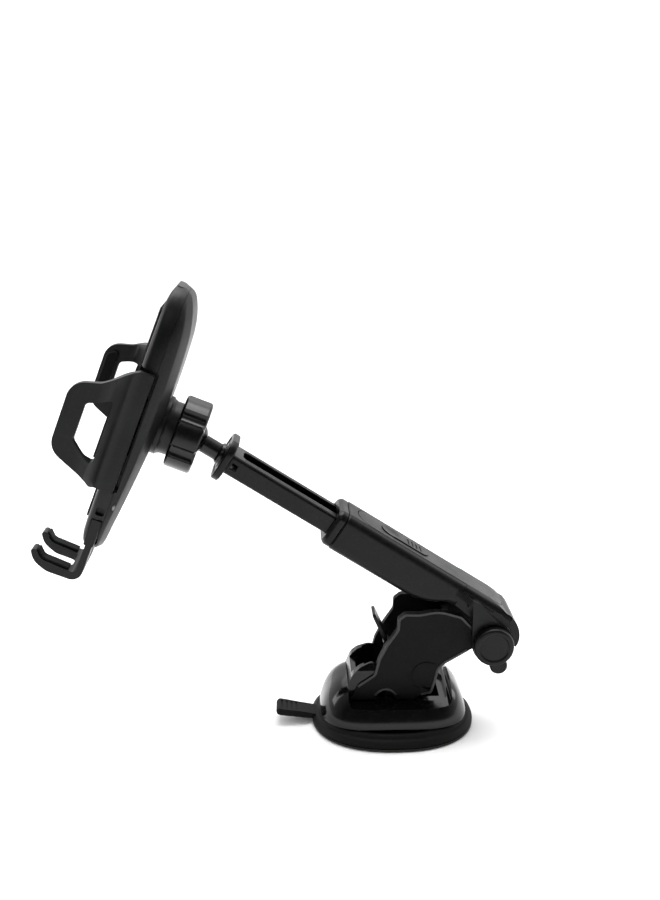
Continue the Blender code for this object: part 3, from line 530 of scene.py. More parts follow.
def build_yoke():
    outline = yoke_outline()
    upper = [(13.5, 22.0), (113.5, 22.0), (113.5, 80.0), (-30.0, 80.0), (-30.0, 22.0)]
    yoke = prism(BASE, outline, "y", -CHEEK_OUT, CHEEK_OUT)
    cut(yoke,
        prism(BASE, upper, "y", -CHEEK_IN, CHEEK_IN),
        block(BASE, (-8.0, 45.0), (-CHEEK_IN, CHEEK_IN), (14.0, 23.0)),
        rod(BASE, "y", (PIVOT.x, 0.0, PIVOT.z), 3.4, -20, 20),
        rod(BASE, "y", (AXLE.x, 0.0, AXLE.z), AXLE_R + 0.3, -CHEEK_OUT + 0.8, CHEEK_OUT - 0.8))
    join(yoke, block(BASE, (PIVOT.x - 20.5, PIVOT.x - 18.0), (-CHEEK_IN - 0.5, CHEEK_IN + 0.5),
                     (PIVOT.z - 7.0, PIVOT.z + 9.0)))
    boss_ring = [(6.5, 0.0), (7.2, 0.0), (7.2, 3.0), (6.5, 3.0)]
    boss_place = (AXLE.x - 0.4, 0.0, AXLE.z + 0.8)
    beyond_boss = [(5.0, 10.0), (40.0, 10.0), (40.0, 40.0), (22.0, 40.0)]
    hook = rounded([(12.6, 21.6, 0.4), (15.4, 19.9, 1.5), (18.6, 20.6, 1.2), (19.9, 24.2, 0.4),
                    (18.6, 24.5, 0.4), (17.4, 21.9, 0.8), (15.4, 21.4, 0.8), (13.2, 22.6, 0.4)])
    for side in (-1, 1):
        face = side * (CHEEK_OUT - 0.45)
        groove = turned(BASE, [(r, face + side * h) for r, h in boss_ring], "y", boss_place)
        cut(groove, prism(BASE, beyond_boss, "y", *band(side, CHEEK_OUT - 1.45, CHEEK_OUT + 4.0)))
        cut(yoke, groove, prism(BASE, hook, "y", *band(side, CHEEK_OUT - 1.6, CHEEK_OUT + 3.0)))
    piece(yoke, "textured_yoke", "base", TEXTURED, ["base_yoke"], 0.35, 3, 35)


def build_shroud():
    """Glossy shroud that the lock lever comes out of."""
    outline = yoke_outline()
    hump = rounded([(-21.6, 13.7, 0), (-21.6, 22.6, 6), (-19.4, 28.2, 6), (-16.0, 31.4, 5), (-11.0, 33.5, 2),
                    (-8.5, 33.0, 0), (-8.5, 13.7, 0)])
    shroud = prism(BASE, hump, "y", -11.6, 11.6)
    crown = rounded([(-11.6, 10.0, 0), (11.6, 10.0, 0), (11.6, 30.0, 4), (9.6, 34.0, 2), (-9.6, 34.0, 2),
                     (-11.6, 30.0, 4)])
    hollow = rounded([(-17.4, -7.7, 3.5), (10.0, -7.7, 0), (10.0, 7.7, 0), (-17.4, 7.7, 3.5)])
    keep(shroud, prism(BASE, crown, "x", -30.0, 0.0))
    cut(shroud,
        prism(BASE, hollow, "z", 16.0, 40.0),
        block(BASE, (-14.0, 0.0), (-8.95, 8.95), (10.0, 40.0)),
        block(BASE, (-30.0, 0.0), (-7.7, 7.7), (27.2, 40.0)),
        cut(prism(BASE, inner_outline(outline, -0.2), "y", -CHEEK_OUT - 1, CHEEK_OUT + 1),
            block(BASE, (-60.0, 80.0), (-CHEEK_IN, CHEEK_IN), (0.0, 90.0))))
    piece(shroud, "lever_shroud", "base", GLOSS, (), 0.5, 4, 35)


def build_painted_highlight_rim():
    """Painted highlight: a thin, lighter strip along the upper edges of the yoke's cheeks, standing in for the
    light caught on those edges.
    """
    strips = []
    for side in (-1, 1):
        y = band(side, CHEEK_OUT - 0.02, CHEEK_OUT + 0.3)
        strips += [prism(BASE, strip, "y", *y) for strip in edge_strips(yoke_outline(), HIGHLIGHT_WIDTH)]
    rim = join(strips[0], *strips[1:])
    piece(rim, "yoke_edge_painted_highlight", "base", PAINTED_HIGHLIGHT, (), 0.12, 2, 40)


def build_lever():
    plate = rounded([(5.6, -3.6, 4), (1.0, -6.6, 4), (-11.5, -10.6, 3), (-16.6, -11.0, 4), (-19.3, -3.0, 6),
                     (-19.1, 7.6, 3), (-18.6, 10.6, 1), (-19.6, 12.6, 1), (-16.8, 14.6, 1), (-12.0, 8.6, 3),
                     (0.0, 6.4, 5), (5.6, 3.6, 4)])
    lever = prism(LEVER, plate, "y", -2.5, 2.5)
    blade = rounded([(-17.6, 11.0, 0.2), (-24.9, 27.8, 0.5), (-23.5, 28.4, 0.5), (-16.1, 11.7, 0.2)])
    grip = prism(LEVER, blade, "y", -BLADE_HALF, BLADE_HALF)
    lean = LEVER @ Matrix.Translation((-21.5, 0.0, 19.8)) @ Matrix.Rotation(radians(-24), 4, "Y")
    front = rounded([(-BLADE_HALF, -12.0, 0), (BLADE_HALF, -12.0, 0),
                     (BLADE_HALF, 9.6, 2.6), (-BLADE_HALF, 9.6, 2.6)])
    keep(grip, prism(lean, front, "x", -6.0, 8.0))
    cut(join(lever, grip), rod(LEVER, "y", (0, 0, 0), AXLE_R + 0.3, -4, 4))
    piece(lever, "lever_blade", "lock_lever", SATIN, ["lock_lever"], 0.25, 2, 35)


# ---------------------------------------------------------------- arm

def tube_low(a):
    """Underside of the outer tube: it rises towards the pivot to clear the yoke."""
    return glide(a, [(20, 4.8), (27, 3.6), (33, 0.2), (38, -1.8), (44, -2.7), (56, -2.8), (90, -2.8)])


def cavity_outline():
    """Inside of the outer tube, which the inner tube slides in."""
    return rounded_box(INNER_HALF + GAP, INNER_LOW - GAP, INNER_HIGH + GAP, 1.8)


def build_outer_tube():
    stations = [20 + 2.0 * k for k in range(20)] + [62.0, 68.0, 76.0, 82.0, TUBE_FRONT - 0.5, TUBE_FRONT]
    rings = []
    for a in stations:
        slim = 0.4 if a == TUBE_FRONT else 0.0
        rings.append(ring_at(rounded_box(TUBE_HALF - slim, tube_low(a) + slim, TUBE_TOP - slim, 4.2), "x", a))
    tube = loft(ARM, rings)
    hood = [(24.0, 5.4), (12.8, 3.9)] + arc((0, 0), HOOD_IN, 24, 97)
    hood += arc((0, 0), HOOD_OUT, 97, 85) + [(3.5, 14.75), (6.0, 15.2), (10.0, TUBE_TOP - 0.02),
                                             (24.0, TUBE_TOP - 0.02)]
    hull = prism(ARM, hood, "y", -TUBE_HALF + 0.02, TUBE_HALF - 0.02)
    keep(hull, prism(ARM, rounded_box(TUBE_HALF - 0.02, -40.0, TUBE_TOP - 0.02, 3.4), "x", -30.0, 40.0))
    saddle = [(19.0, 8.0), (10.0, 6.0)] + arc((0, 0), HOOD_IN + 0.05, 34, 94)
    saddle += arc((0, 0), 12.6, 94, 80) + [(10.0, 12.8), (19.0, 12.8)]
    join(tube, hull, prism(ARM, saddle, "y", -EAR_IN - 0.5, EAR_IN + 0.5))
    ear = [(19.8, 12.6)] + arc((0, 0), 9.5, -45, -268) + [(3.2, 9.6), (13.5, 12.4), (17.0, 13.0)]
    inner_ear = [(19.8, 12.6)] + arc((0, 0), 9.5, -45, -260) + [(-0.5, 12.2), (4.0, 13.0)]
    for side in (-1, 1):
        join(tube, prism(ARM, ear, "y", *band(side, EAR_IN, EAR_OUT)),
             prism(ARM, inner_ear, "y", *band(side, EAR_IN, EAR_IN + 1.2)))
        gusset = prism(ARM, [(19.0, TUBE_HALF - 0.5), (27.0, TUBE_HALF - 0.5), (19.8, EAR_OUT - 0.6),
                             (8.0, EAR_OUT - 0.6), (8.0, TUBE_HALF - 0.5)], "z", 9.6, 12.4)
        if side < 0:
            for vertex in gusset.data.vertices:
                vertex.co.y = -vertex.co.y
            gusset.data.flip_normals()
        join(tube, gusset)
    pocket = stadium(BUTTON_SPAN[0] - GAP, BUTTON_SPAN[1] + GAP, 4.6)
    cut(tube,
        prism(ARM, cavity_outline(), "x", 34.5, 95.0),
        prism(ARM, pocket, "z", 10.0, 20.0),
        rod(ARM, "y", (0, 0, 0), 3.3, -20, 20))
    cover = stadium(1.5, 82.0, 8.6)
    seam = prism(ARM, cover, "z", 13.95, 20.0)
    cut(seam, prism(ARM, inner_outline(cover, 0.45), "z", 10.0, 25.0))
    cut(tube, seam)
    piece(tube, "outer_tube_shell", "arm", SATIN, ["outer_tube"], 0.35, 3, 34)


def build_rear_cap():
    """Curved cap behind the pivot, thicker towards the top."""
    cap = arc((0, 0), 9.4, 99, 165)
    for x, z in arc((0, 0), 1.0, 165, 99):
        share = (165 - degrees(atan2(z, x))) / 66
        radius = 11.9 + 2.1 * share ** 0.7
        cap.append((radius * x, radius * z))
    rear = prism(ARM, cap, "y", -TUBE_HALF, TUBE_HALF)
    cut(rear, block(ARM, (-20, 2), (-3.4, 3.4), (13.75, 20.0)))
    piece(rear, "rear_cap_shell", "arm", SATIN, ["rear_cap"], 0.5, 3, 34)


def build_collar():
    """Frame at the outer tube's open end."""
    steps = [(0.55, TUBE_FRONT + GAP), (0.3, TUBE_FRONT + 0.55), (0.3, 89.2), (0.5, 89.9), (1.4, 91.0)]
    low = tube_low(80)
    collar = loft(ARM, [ring_at(rounded_box(TUBE_HALF - inset, low + inset, TUBE_TOP - inset, 4.0), "x", a)
                        for inset, a in steps])
    cut(collar, prism(ARM, cavity_outline(), "x", 80.0, 95.0))
    piece(collar, "collar_frame", "arm", TUBE, ["tube_collar"], 0.22, 2, 34)


def build_arm_button():
    button = prism(ARM, stadium(BUTTON_SPAN[0], BUTTON_SPAN[1], 4.3), "z", 13.2, 16.0)
    dish = turned(ARM, [(0, 15.55), (4.0, 15.8), (6.0, 16.4), (0, 16.4)], "z", (64.2, 0.0, 0.0))
    ribs = [block(ARM, (a, a + 0.8), (-3.0, 3.0), (15.65, 17.0)) for a in (48.0, 50.2, 52.4, 54.6)]
    cut(button, dish, *ribs)
    join(button, rod(ARM, "z", (50.0, 0, 0), 1.6, 12.0, 13.6))
    piece(button, "release_slide_button", "arm_button", SATIN, ["arm_button"], 0.25, 3, 34)


def build_telescope():
    tube = loft(ARM, [ring_at(rounded_box(INNER_HALF, INNER_LOW, INNER_HIGH, 1.6), "x", a)
                      for a in (INNER_START, INNER_END)])
    slot = rounded([(60.0, -4.8, 0), (139.0, -4.8, 2.5), (139.0, 4.8, 2.5), (60.0, 4.8, 0)])
    cut(tube,
        block(ARM, (70.0, 150.0), (-7.6, 7.6), (3.4, 9.9)),
        prism(ARM, slot, "z", 8.0, 14.0),
        block(ARM, (139.2, 142.0), (-12.0, 12.0), (5.4, 8.2)))
    for side in (-1, 1):
        cut(tube, block(ARM, (60.0, 138.0), band(side, 6.2, 6.7), (INNER_HIGH - 0.3, 14.0)))
    piece(tube, "inner_tube_shell", "telescope", TUBE, ["inner_tube"], 0.18, 2, 34)


def build_flange():
    """Plate at the inner tube's end, with a dish round the ball's stem."""
    plate = rounded_box(FLANGE_HALF, -3.3, 16.2, 6.4)
    middle = rounded_box(FLANGE_HALF - 0.15, -3.15, 16.05, 6.3)
    small = rounded_box(FLANGE_HALF - 0.65, -2.65, 15.55, 5.9)
    flange = loft(ARM, [ring_at(small, "x", 143.5), ring_at(middle, "x", 143.75),
                        ring_at(plate, "x", 144.3), ring_at(plate, "x", 146.2),
                        ring_at(middle, "x", 146.75), ring_at(small, "x", 147.0)])
    plug = block(ARM, (142.6, 144.0), (-7.2, 7.2), (3.7, 9.5))
    dish = prism(ARM, rounded_box(FLANGE_HALF - 2.2, -1.1, 14.0, 3.0), "x", 146.5, 150.0)
    cut(dish, rod(ARM, "x", (0, 0, STEM_Z), 6.0, 140.0, 160.0))
    cut(join(flange, plug), dish, rod(ARM, "x", (0, 0, STEM_Z + 0.1), 2.3, 137.5, 150.0))
    piece(flange, "end_flange_plate", "telescope", TUBE, ["end_flange"], 0.12, 2, 50)


def build_ball():
    joined = 180 - degrees(acos(sqrt(1 - (4.0 / BALL_R) ** 2)))
    profile = [(0, 138.0), (2.0, 138.0), (2.0, 147.3), (4.9, 147.3), (4.9, 148.4), (4.4, 149.0), (4.0, 149.3)]
    profile += [(radius, BALL_ALONG + along) for along, radius in arc((0, 0), BALL_R, joined, 0)]
    profile[-1] = (0.0, BALL_ALONG + BALL_R)
    piece(turned(ARM, profile, "x", (0, 0, STEM_Z)), "ball_and_stem", "telescope", NUT,
          ["ball_stud"], sharp=50)


def build_pivot_bolt():
    """Hexagon head on the far side and the bolt through the yoke and the arm's ears."""
    hexagon = arc((0, 0), 5.6, 0, 300, 60)
    head = prism(ARM, hexagon, "y", -19.2, -EAR_OUT - GAP)
    keep(head, turned(ARM, [(0, -16.0), (6.2, -16.0), (6.2, -18.4), (5.0, -19.3), (0, -19.3)], "y"))
    join(head, rod(ARM, "y", (0, 0, 0), 3.0, -17.0, 18.8))
    cut(head, rod(ARM, "y", (0, 0, 0), 2.6, -25.0, -18.5))
    piece(head, "pivot_bolt_shape", "arm", STEEL, ["pivot_bolt"], 0.15, 2, 34)


def build_pivot_knob():
    """Round knob on the near side, with a small round wing."""
    low, high = EAR_OUT + GAP, KNOB_HIGH
    rim = [(0, high - 0.7), (6.3, high - 0.7), (6.7, high - 0.2), (7.0, high), (8.2, high), (8.8, high - 0.5),
           (KNOB_R, high - 1.2), (KNOB_R, low + 0.8), (8.7, low + 0.3), (8.7, low), (0, low)]
    knob = turned(ARM, rim, "y", sides=96)
    wing_side = [(0, low + 0.1), (3.7, low + 0.1), (4.0, low + 0.5), (4.0, high - 1.7), (3.4, high - 0.95),
                 (0, high - 0.95)]
    wing = Vector((2.5, 0.0, -9.5))       # from the pivot, along the world's axes
    wing_place = (wing.dot(axis_of("arm_extension")), 0.0, -wing.dot(axis_of("arm_button_press")))
    join(knob, turned(ARM, wing_side, "y", wing_place))
    cut(knob, rod(ARM, "y", (0, 0, 0), 3.3, 10.0, 19.1))
    piece(knob, "pivot_knob_shape", "pivot_knob", SATIN, ["pivot_knob"], 0.2, 3, 40)


# ---------------------------------------------------------------- ball joint

def nut_outline(shrink):
    """Broad lobes with concave grooves between them."""
    lobe_r, groove_r, groove_at = 16.3 - shrink, 3.93 + shrink, 17.93
    share = degrees(acos((lobe_r ** 2 + groove_at ** 2 - groove_r ** 2) / (2 * lobe_r * groove_at)))
    bite = degrees(asin(lobe_r * sin(radians(share)) / groove_r))
    half_lobe = 180 / LOBES
    wide = half_lobe - share
    outline = []
    for lobe in range(LOBES):
        middle = 2 * half_lobe * lobe + 12
        outline += arc((0, 0), lobe_r, middle - wide, middle + wide, wide / 6)
        deep = middle + half_lobe
        centre = (groove_at * cos(radians(deep)), groove_at * sin(radians(deep)))
        outline += arc(centre, groove_r, deep + 180 + bite, deep + 180 - bite, bite / 6)[1:-1]
    return outline


def build_nut():
    levels = [(1.3, -5.9), (0.55, -5.65), (0.15, -5.2), (0.0, -4.6), (0.0, 4.8), (0.15, 5.4), (0.55, 5.85),
              (1.3, 6.1)]
    nut = loft(CRADLE, [ring_at(nut_outline(shrink), "x", n) for shrink, n in levels])
    cup_r = 10.1
    open_at = degrees(acos(-8.0 / cup_r))
    bore = [(0, -8.0)] + [(x, y) for y, x in arc((0, 0), cup_r, open_at, 105)]
    bore += [(12.2, -2.6), (12.2, 8.0), (0, 8.0)]
    cut(nut, turned(CRADLE, bore, "x"))
    cut(nut, turned(CRADLE, [(8.2, -7.0), (11.6, -7.0), (11.6, -5.5), (8.2, -5.5)], "x"))
    piece(nut, "lobed_nut", "collar_nut", NUT, ["collar_nut"], 0.15, 2, 45)


# ---------------------------------------------------------------- cradle

BACK = [(-62, 21.8), (-60.8, 20.2), (-57.6, 17.9), (-47, 16.6), (-31.5, 14.9), (-12, 13.2), (13, 12.2),
        (39, 13.0), (48, 14.4), (56, 17.2), (58.5, 19.2), (60, 22.2)]
FRONT = [(-62, 24.0), (-57, 26.3), (-50, FACE_N), (-40, FACE_N), (42, FACE_N), (52, FACE_N), (57, 26.7),
         (60, 25.6)]
SECTION = [(0.0, 0.60), (0.008, 0.63), (0.03, 0.665), (0.10, 0.76), (0.19, 0.875), (0.23, 0.905),
           (0.36, 0.955), (0.50, 0.985), (0.62, 1.0), (0.74, 0.995), (0.85, 0.98), (0.92, 0.955),
           (0.97, 0.91), (1.0, 0.84)]


def half_width(u):
    """Outline of the housing seen from the front."""
    share = min(0.993, abs((u - 0.5 * sum(HOUSING_U)) / (0.5 * (HOUSING_U[1] - HOUSING_U[0]))))
    return HOUSING_W * (1 - share ** COVER_POWER) ** (1 / COVER_POWER)


def housing_section(u):
    back, front, wide = glide(u, BACK), glide(u, FRONT), half_width(u)
    half = [(back + (front - back) * depth, wide * share) for depth, share in SECTION]
    return [(n, y, u) for n, y in half] + [(n, -y, u) for n, y in reversed(half)]


def housing_form():
    low, high = HOUSING_U
    inner = [low + 4 + 2.0 * k for k in range(58)]
    levels = [low, low + 0.3, low + 0.8, low + 1.6, low + 2.6, *inner, high - 2.6, high - 1.6, high - 0.8,
              high - 0.3, high]
    return loft(CRADLE, [housing_section(u) for u in levels])


SCREW_SPOTS = [(side * y, u) for side in (-1, 1) for y, u in ((19.6, -35.0), (18.6, 37.0))]
SEAM = 0.08                    # how far each cover's edge passes the CAD's split


def build_back_cover():
    back = cut(housing_form(), block(CRADLE, (SPLIT + SEAM, 60), (-60, 60), (-90, 90)))
    boss = [(0, 10.9), (10.2, 10.9), (10.2, -2.2), (11.6, -2.2), (11.9, -1.9), (11.9, 8.8), (12.4, 10.2),
            (13.2, 10.9), (13.2, 13.6), (14.2, 15.5), (0, 15.5)]
    join(back, turned(CRADLE, boss, "x", sides=96))
    for y, u in SCREW_SPOTS:
        cut(back, rod(CRADLE, "x", (0, y, u), 2.25, 18.0, 19.2))
    for side in (-1, 1):
        y = band(side, RECESS_W + 2.4, FAR_OUT)
        cut(back, block(CRADLE, (19.2, 21.0), y, (RECESS_U[0] + 0.6, RECESS_U[1] - 0.6)))
    piece(back, "back_cover_shell", "cradle", CRADLE_SKIN, ["back_cover"], 0.25, 3, 34)


def build_front_cover():
    front = cut(housing_form(), block(CRADLE, (-20, SPLIT + GAP - SEAM), (-60, 60), (-90, 90)))
    for side in (-1, 1):
        cut(front, block(CRADLE, (10, 40), band(side, RECESS_W, FAR_OUT), RECESS_U))
    mechanism = block(CRADLE, (10, 25.3), (-15, 15), (-56, 46))
    rack_way = block(CRADLE, (10, 23.0), (-FAR_OUT, FAR_OUT), (-13.2, 13.2))
    button_stem_way = block(CRADLE, (10, 24.6), (13.0, 17.6), (-56.6, -30.4))
    foot_way = block(CRADLE, (21.5, 25.1), (-13.4, 13.4), (-70, -40))
    button_way = block(CRADLE, (20.6, 25.4), (14.0, FAR_OUT), (-55.4, -42.6))
    side_hole = rounded([(21.2, -40.4, 0.8), (24.8, -40.4, 0.8), (24.8, -36.6, 0.8), (21.2, -36.6, 0.8)])
    foot_notch = rounded([(-4.0, -70, 0), (4.0, -70, 0), (1.0, -53.5, 1), (-1.0, -53.5, 1)])
    cut(front, mechanism, rack_way, button_stem_way, foot_way, button_way,
        prism(CRADLE, side_hole, "y", 20.5, FAR_OUT),
        prism(CRADLE, foot_notch, "x", 25.6, 40))
    piece(front, "front_cover_shell", "cradle", CRADLE_SKIN, ["front_cover"], 0.3, 3, 36)


def build_front_pad():
    section = [(27.6, -15.0), (27.9, -15.0)]
    for k in range(7):
        y = -12.6 + 4.2 * k
        section += [(28.15, y - 1.9), (28.55, y - 1.55), (28.6, y - 1.0), (28.6, y + 0.2), (28.55, y + 0.75),
                    (28.15, y + 1.1), (28.1, y + 1.6)]
    section += [(28.1, 14.7), (27.9, 15.0), (27.6, 15.0)]
    pad = prism(CRADLE, section, "z", -46.0, 50.0)
    keep(pad, prism(CRADLE, rounded([(-15, -46, 3), (15, -46, 3), (15, 50, 3), (-15, 50, 3)]), "x", 20, 40))
    piece(pad, "ribbed_front_pad", "cradle", PAD, ["front_pad"], 0.1, 2, 36)


def build_cradle_screws():
    profile = [(0, 18.0), (1.5, 18.0), (2.0, 18.15), (2.2, 18.5), (2.2, 18.9), (1.2, 18.9), (1.2, 25.2),
               (0, 25.2)]
    for place, (y, u) in enumerate(SCREW_SPOTS, 1):
        screw = turned(CRADLE, profile, "x", (0, y, u), 40)
        for half_y, half_u in ((0.28, 1.4), (1.4, 0.28)):
            cut(screw, block(CRADLE, (16.0, 18.5), (y - half_y, y + half_y), (u - half_u, u + half_u)))
        piece(screw, f"cross_head_screw_{place}", "cradle", STEEL, [f"cradle_screw_{place}"],
              sharp=34)


def arm_outline():
    """Side view of a clamp arm, (n, u)."""
    return rounded([(20.6, -27, 1), (26.5, -27, 1.5), (30.2, -25.6, 3), (34, -19.6, 14), (49, -13.0, 8),
                    (49, 15.8, 9), (38, 19.2, 6), (32, 23.2, 5), (26.5, 25.6, 1.5), (20.6, 25.6, 1)])


def rack_outline():
    """Rack in (y, u), on the pitch line of the clamp pinion."""
    module, pitch_r = 1.0, 6.0
    root, tip = pitch_r + 1.15, pitch_r - 0.75
    pitch = pi * module
    half, slope = pitch / 4 - 0.3, tan(radians(20))
    outline = [(26.0, root), (26.0, 12.4), (-8.5, 12.4), (-8.5, root)]
    for tooth in range(-2, 5):
        middle = (tooth + 0.5) * pitch
        low, high = half + slope * (root - pitch_r), half - slope * (pitch_r - tip)
        outline += [(middle - low, root), (middle - high, tip), (middle + high, tip), (middle + low, root)]
    return outline


def build_clamps():
    """Two bent arms with their racks, each with a rubber grip beside its window."""
    mid = ARM_PLATE / 2
    line = [(20.4, 26.5), (28.4, 26.8), (35.0, 39.5), (49.6, 39.5)]
    outer = rounded([(line[0][0], line[0][1] + mid, 0), (line[1][0] - 0.8, line[1][1] + mid, 5),
                     (line[2][0] - 0.8, line[2][1] + mid, 6), (line[3][0], line[3][1] + mid, 0)])
    inner = rounded([(line[3][0], line[3][1] - mid, 0), (line[2][0] + 0.8, line[2][1] - mid, 3.5),
                     (line[1][0] + 0.8, line[1][1] - mid, 6), (line[0][0], line[0][1] - mid, 0)])
    window = rounded([(31.6, -15.2, 0.8), (41.2, -6.4, 2), (41.2, 9.6, 2.5), (31.6, 13.6, 1.5)])
    grip = rounded([(42.6, -12.0, 2), (47.6, -9.4, 3), (47.6, 12.0, 3.5), (42.6, 15.0, 2)])
    ledge = rounded([(30.6, -13.4, 0.5), (32.6, -13.4, 0.5), (32.6, 13.4, 0.5), (30.6, 13.4, 0.5)])
    for side, word in ((-1, "far"), (1, "near")):
        y = band(side, 20, 45)
        bent = [(n, y * side) for n, y in outer + inner]
        arm = prism(CRADLE, bent, "z", -30, 30)
        keep(arm, prism(CRADLE, arm_outline(), "y", *y))
        cut(arm, prism(CRADLE, window, "y", *y))
        join(arm, prism(CRADLE, ledge, "y", *band(side, 29.5, 31.6)))
        rack = [(y * side, u * side) for y, u in rack_outline()]
        join(arm, prism(CRADLE, rack, "x", 20.6, 22.6))
        piece(arm, f"clamp_arm_{word}_shape", f"clamp_{word}", CRADLE_SKIN,
              [f"clamp_arm_{word}"], 0.55, 3, 40)
        pad = prism(CRADLE, grip, "y", *band(side, 37.95, 36.2))
        piece(pad, f"clamp_grip_{word}", f"clamp_{word}", PAD, [f"clamp_pad_{word}"],
              0.5, 4, 36)


def build_release_button():
    face = rounded([(20.9, -55.1, 0.5), (25.1, -55.1, 0.5), (25.1, -42.9, 0.5), (20.9, -42.9, 0.5)])
    button = prism(CRADLE, face, "y", 16.5, 22.3)
    join(button, block(CRADLE, (21.0, 24.2), (15.4, 17.3), (-54.0, -31.0)))
    piece(button, "release_button_shape", "release_button", CRADLE_SKIN,
          ["release_button"], 0.25, 3, 34)


def build_foot():
    """Fork that carries the phone's lower edge on two hooked prongs."""
    near, far = PRONG_Y
    side_view = rounded([(21.8, -46, 0), (21.8, -77.2, 5), (37.0, -77.0, 8), (43.2, -74.4, 8),
                         (46.2, -69.6, 1.4), (43.8, -68.4, 1.4), (40.8, -72.4, 5), (24.8, -73.6, 2),
                         (24.8, -46, 0)])
    bracket = prism(CRADLE, side_view, "y", -far, far)
    gap = rounded([(27.4, -near, 2.4), (60, -near, 0), (60, near, 0), (27.4, near, 2.4)])
    window = rounded([(-3.2, -71.5, 1), (3.2, -71.5, 1), (3.2, -64.0, 1), (-3.2, -64.0, 1)])
    cut(bracket, prism(CRADLE, gap, "z", -90, -60), prism(CRADLE, window, "x", 10, 26))
    for side in (-1, 1):
        low, high = band(side, near, far)
        tip = rounded([(38.0, low, 0), (47.9, low, 2.9), (47.9, high, 2.9), (38.0, high, 0)])
        around = block(CRADLE, (40.0, 50.0), (low - 0.5, high + 0.5), (-79, -61))
        cut(bracket, cut(around, prism(CRADLE, tip, "z", -80, -60)))
    piece(bracket, "foot_fork", "foot", CRADLE_SKIN, ["foot_bracket"], 0.5, 3, 40)

    lining = rounded([(28.0, -73.2, 0.1), (40.4, -72.3, 4), (43.4, -68.7, 0.3), (42.6, -68.4, 0.3),
                      (39.9, -71.4, 3), (28.0, -72.1, 0.4)])
    for side, word in ((-1, "far"), (1, "near")):
        strip = prism(CRADLE, lining, "y", *band(side, near + 0.6, far - 0.6))
        piece(strip, f"foot_grip_{word}", "foot", PAD, [f"foot_pad_{word}"], 0.15, 2, 36)


# ---------------------------------------------------------------- hidden CAD nodes

INSIDE_LOOKS = {
    "lever_axle": STEEL, "plunger": STEEL, "plunger_pin": STEEL, "base_screw_1": STEEL, "base_screw_2": STEEL,
    "pivot_sleeve": STEEL, "clamp_pawl": STEEL, "opening_spring": STEEL, "guide_shoe": SATIN,
    "ball_liner": NYLON, "socket_seat": NYLON, "clamp_pinion": NYLON,
    "friction_washer_near": NYLON, "friction_washer_far": NYLON,
}


def dress_inside():
    for name, look in INSIDE_LOOKS.items():
        node = frame["nodes"][name]
        node.data.materials.clear()
        node.data.materials.append(look)


# ---------------------------------------------------------------- studio

CAMERA_PLACE = (-0.0435, -0.4188, 0.2575)
CAMERA_DOWN, CAMERA_YAW = 16.67, 1.95     # degrees
FLOOR_TONES = ((0.935, 0.935, 0.935), (0.955, 0.955, 0.955))
FLOOR_HALF, FLOOR_Z = 12.0, -0.0004       # metres
LIT_POINT = (-0.04, 0.0, 0.10)            # metres, the middle of the mount


def floor_material():
    material = shader_material("pale_floor", FLOOR_TONES[0], 0.75, 0.2)
    tree = material.node_tree
    shader = tree.nodes["Principled BSDF"]
    position = tree.nodes.new("ShaderNodeTexCoord").outputs["Object"]
    mottle = noise(tree, position, 9.0, 2.0)
    tree.links.new(blended(tree, mottle, *FLOOR_TONES), shader.inputs["Base Color"])
    return material


def build_floor():
    """A flat pale sheet under the object."""
    half = FLOOR_HALF
    corners = [(-half, -half), (half, -half), (half, half), (-half, half)]
    mesh = bpy.data.meshes.new("floor_sheet")
    mesh.from_pydata([(x, y, FLOOR_Z) for x, y in corners], [], [[0, 1, 2, 3]])
    mesh.materials.append(floor_material())
    sheet = bpy.data.objects.new("floor_sheet", mesh)
    bpy.context.scene.collection.objects.link(sheet)


def area_light(name, place, size, power):
    """A rectangular lamp, in metres and watts, turned to the mount."""
    light = bpy.data.lights.new(name, "AREA")
    light.shape = "RECTANGLE"
    light.size, light.size_y = size
    light.energy = power
    lamp = bpy.data.objects.new(name, light)
    lamp.location = place
    lamp.rotation_mode = "QUATERNION"
    lamp.rotation_quaternion = (Vector(LIT_POINT) - Vector(place)).to_track_quat("-Z", "Y")
    bpy.context.scene.collection.objects.link(lamp)


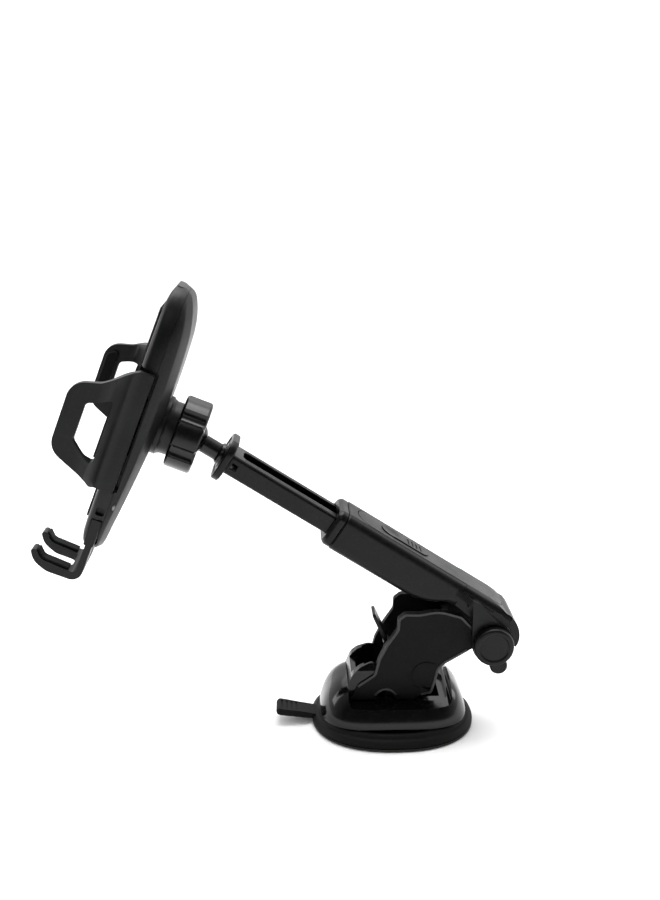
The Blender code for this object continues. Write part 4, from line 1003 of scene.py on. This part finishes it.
def build_world():
    """White surroundings, brighter behind the mount than behind the camera."""
    world = bpy.data.worlds.new("studio_air")
    world.use_nodes = True
    tree = world.node_tree
    position = tree.nodes.new("ShaderNodeTexCoord").outputs["Generated"]
    parts = tree.nodes.new("ShaderNodeSeparateXYZ")
    tree.links.new(position, parts.inputs["Vector"])
    strength = spread(tree, parts.outputs["Y"], 0.09, 1.2, -0.7, 0.35)
    tree.links.new(strength, tree.nodes["Background"].inputs["Strength"])
    tree.nodes["Background"].inputs["Color"].default_value = (1.0, 1.0, 1.0, 1.0)
    bpy.context.scene.world = world


def build_lights():
    area_light("overhead_softbox", (-0.05, 0.30, 1.30), (1.2, 0.7), 13.0)
    area_light("left_softbox", (-1.25, 0.10, 0.75), (0.5, 1.0), 7.0)
    area_light("right_softbox", (1.20, 0.35, 0.70), (0.5, 1.0), 6.0)
    sky = bpy.data.lights.new("soft_sky", "SUN")
    sky.energy = 1.3
    sky.angle = radians(70)
    lamp = bpy.data.objects.new("soft_sky", sky)
    lamp.rotation_euler = (radians(-25), 0.0, 0.0)
    bpy.context.scene.collection.objects.link(lamp)
    area_light("front_strip", (-0.10, -1.10, 1.10), (1.2, 0.10), 1.6)


def build_camera():
    camera = bpy.data.cameras.new("photo_camera")
    camera.lens = 40.0
    camera.sensor_width = 36.0
    camera.clip_start = 0.01
    camera.clip_end = 50.0
    eye = bpy.data.objects.new("photo_camera", camera)
    eye.location = CAMERA_PLACE
    eye.rotation_euler = (radians(90 - CAMERA_DOWN), 0.0, -radians(CAMERA_YAW))
    bpy.context.scene.collection.objects.link(eye)
    bpy.context.scene.camera = eye
    bpy.context.scene.view_settings.view_transform = "Standard"


# ---------------------------------------------------------------- assembly

def main():
    for build in (build_gel, build_cup, build_housing, build_yoke, build_shroud, build_painted_highlight_rim, build_lever,
                  build_outer_tube, build_rear_cap, build_collar, build_arm_button, build_telescope,
                  build_flange, build_ball, build_pivot_bolt, build_pivot_knob, build_nut,
                  build_back_cover, build_front_cover, build_front_pad, build_cradle_screws, build_clamps,
                  build_release_button, build_foot, dress_inside, build_floor, build_world, build_lights,
                  build_camera):
        build()
    bpy.context.view_layer.update()


main()
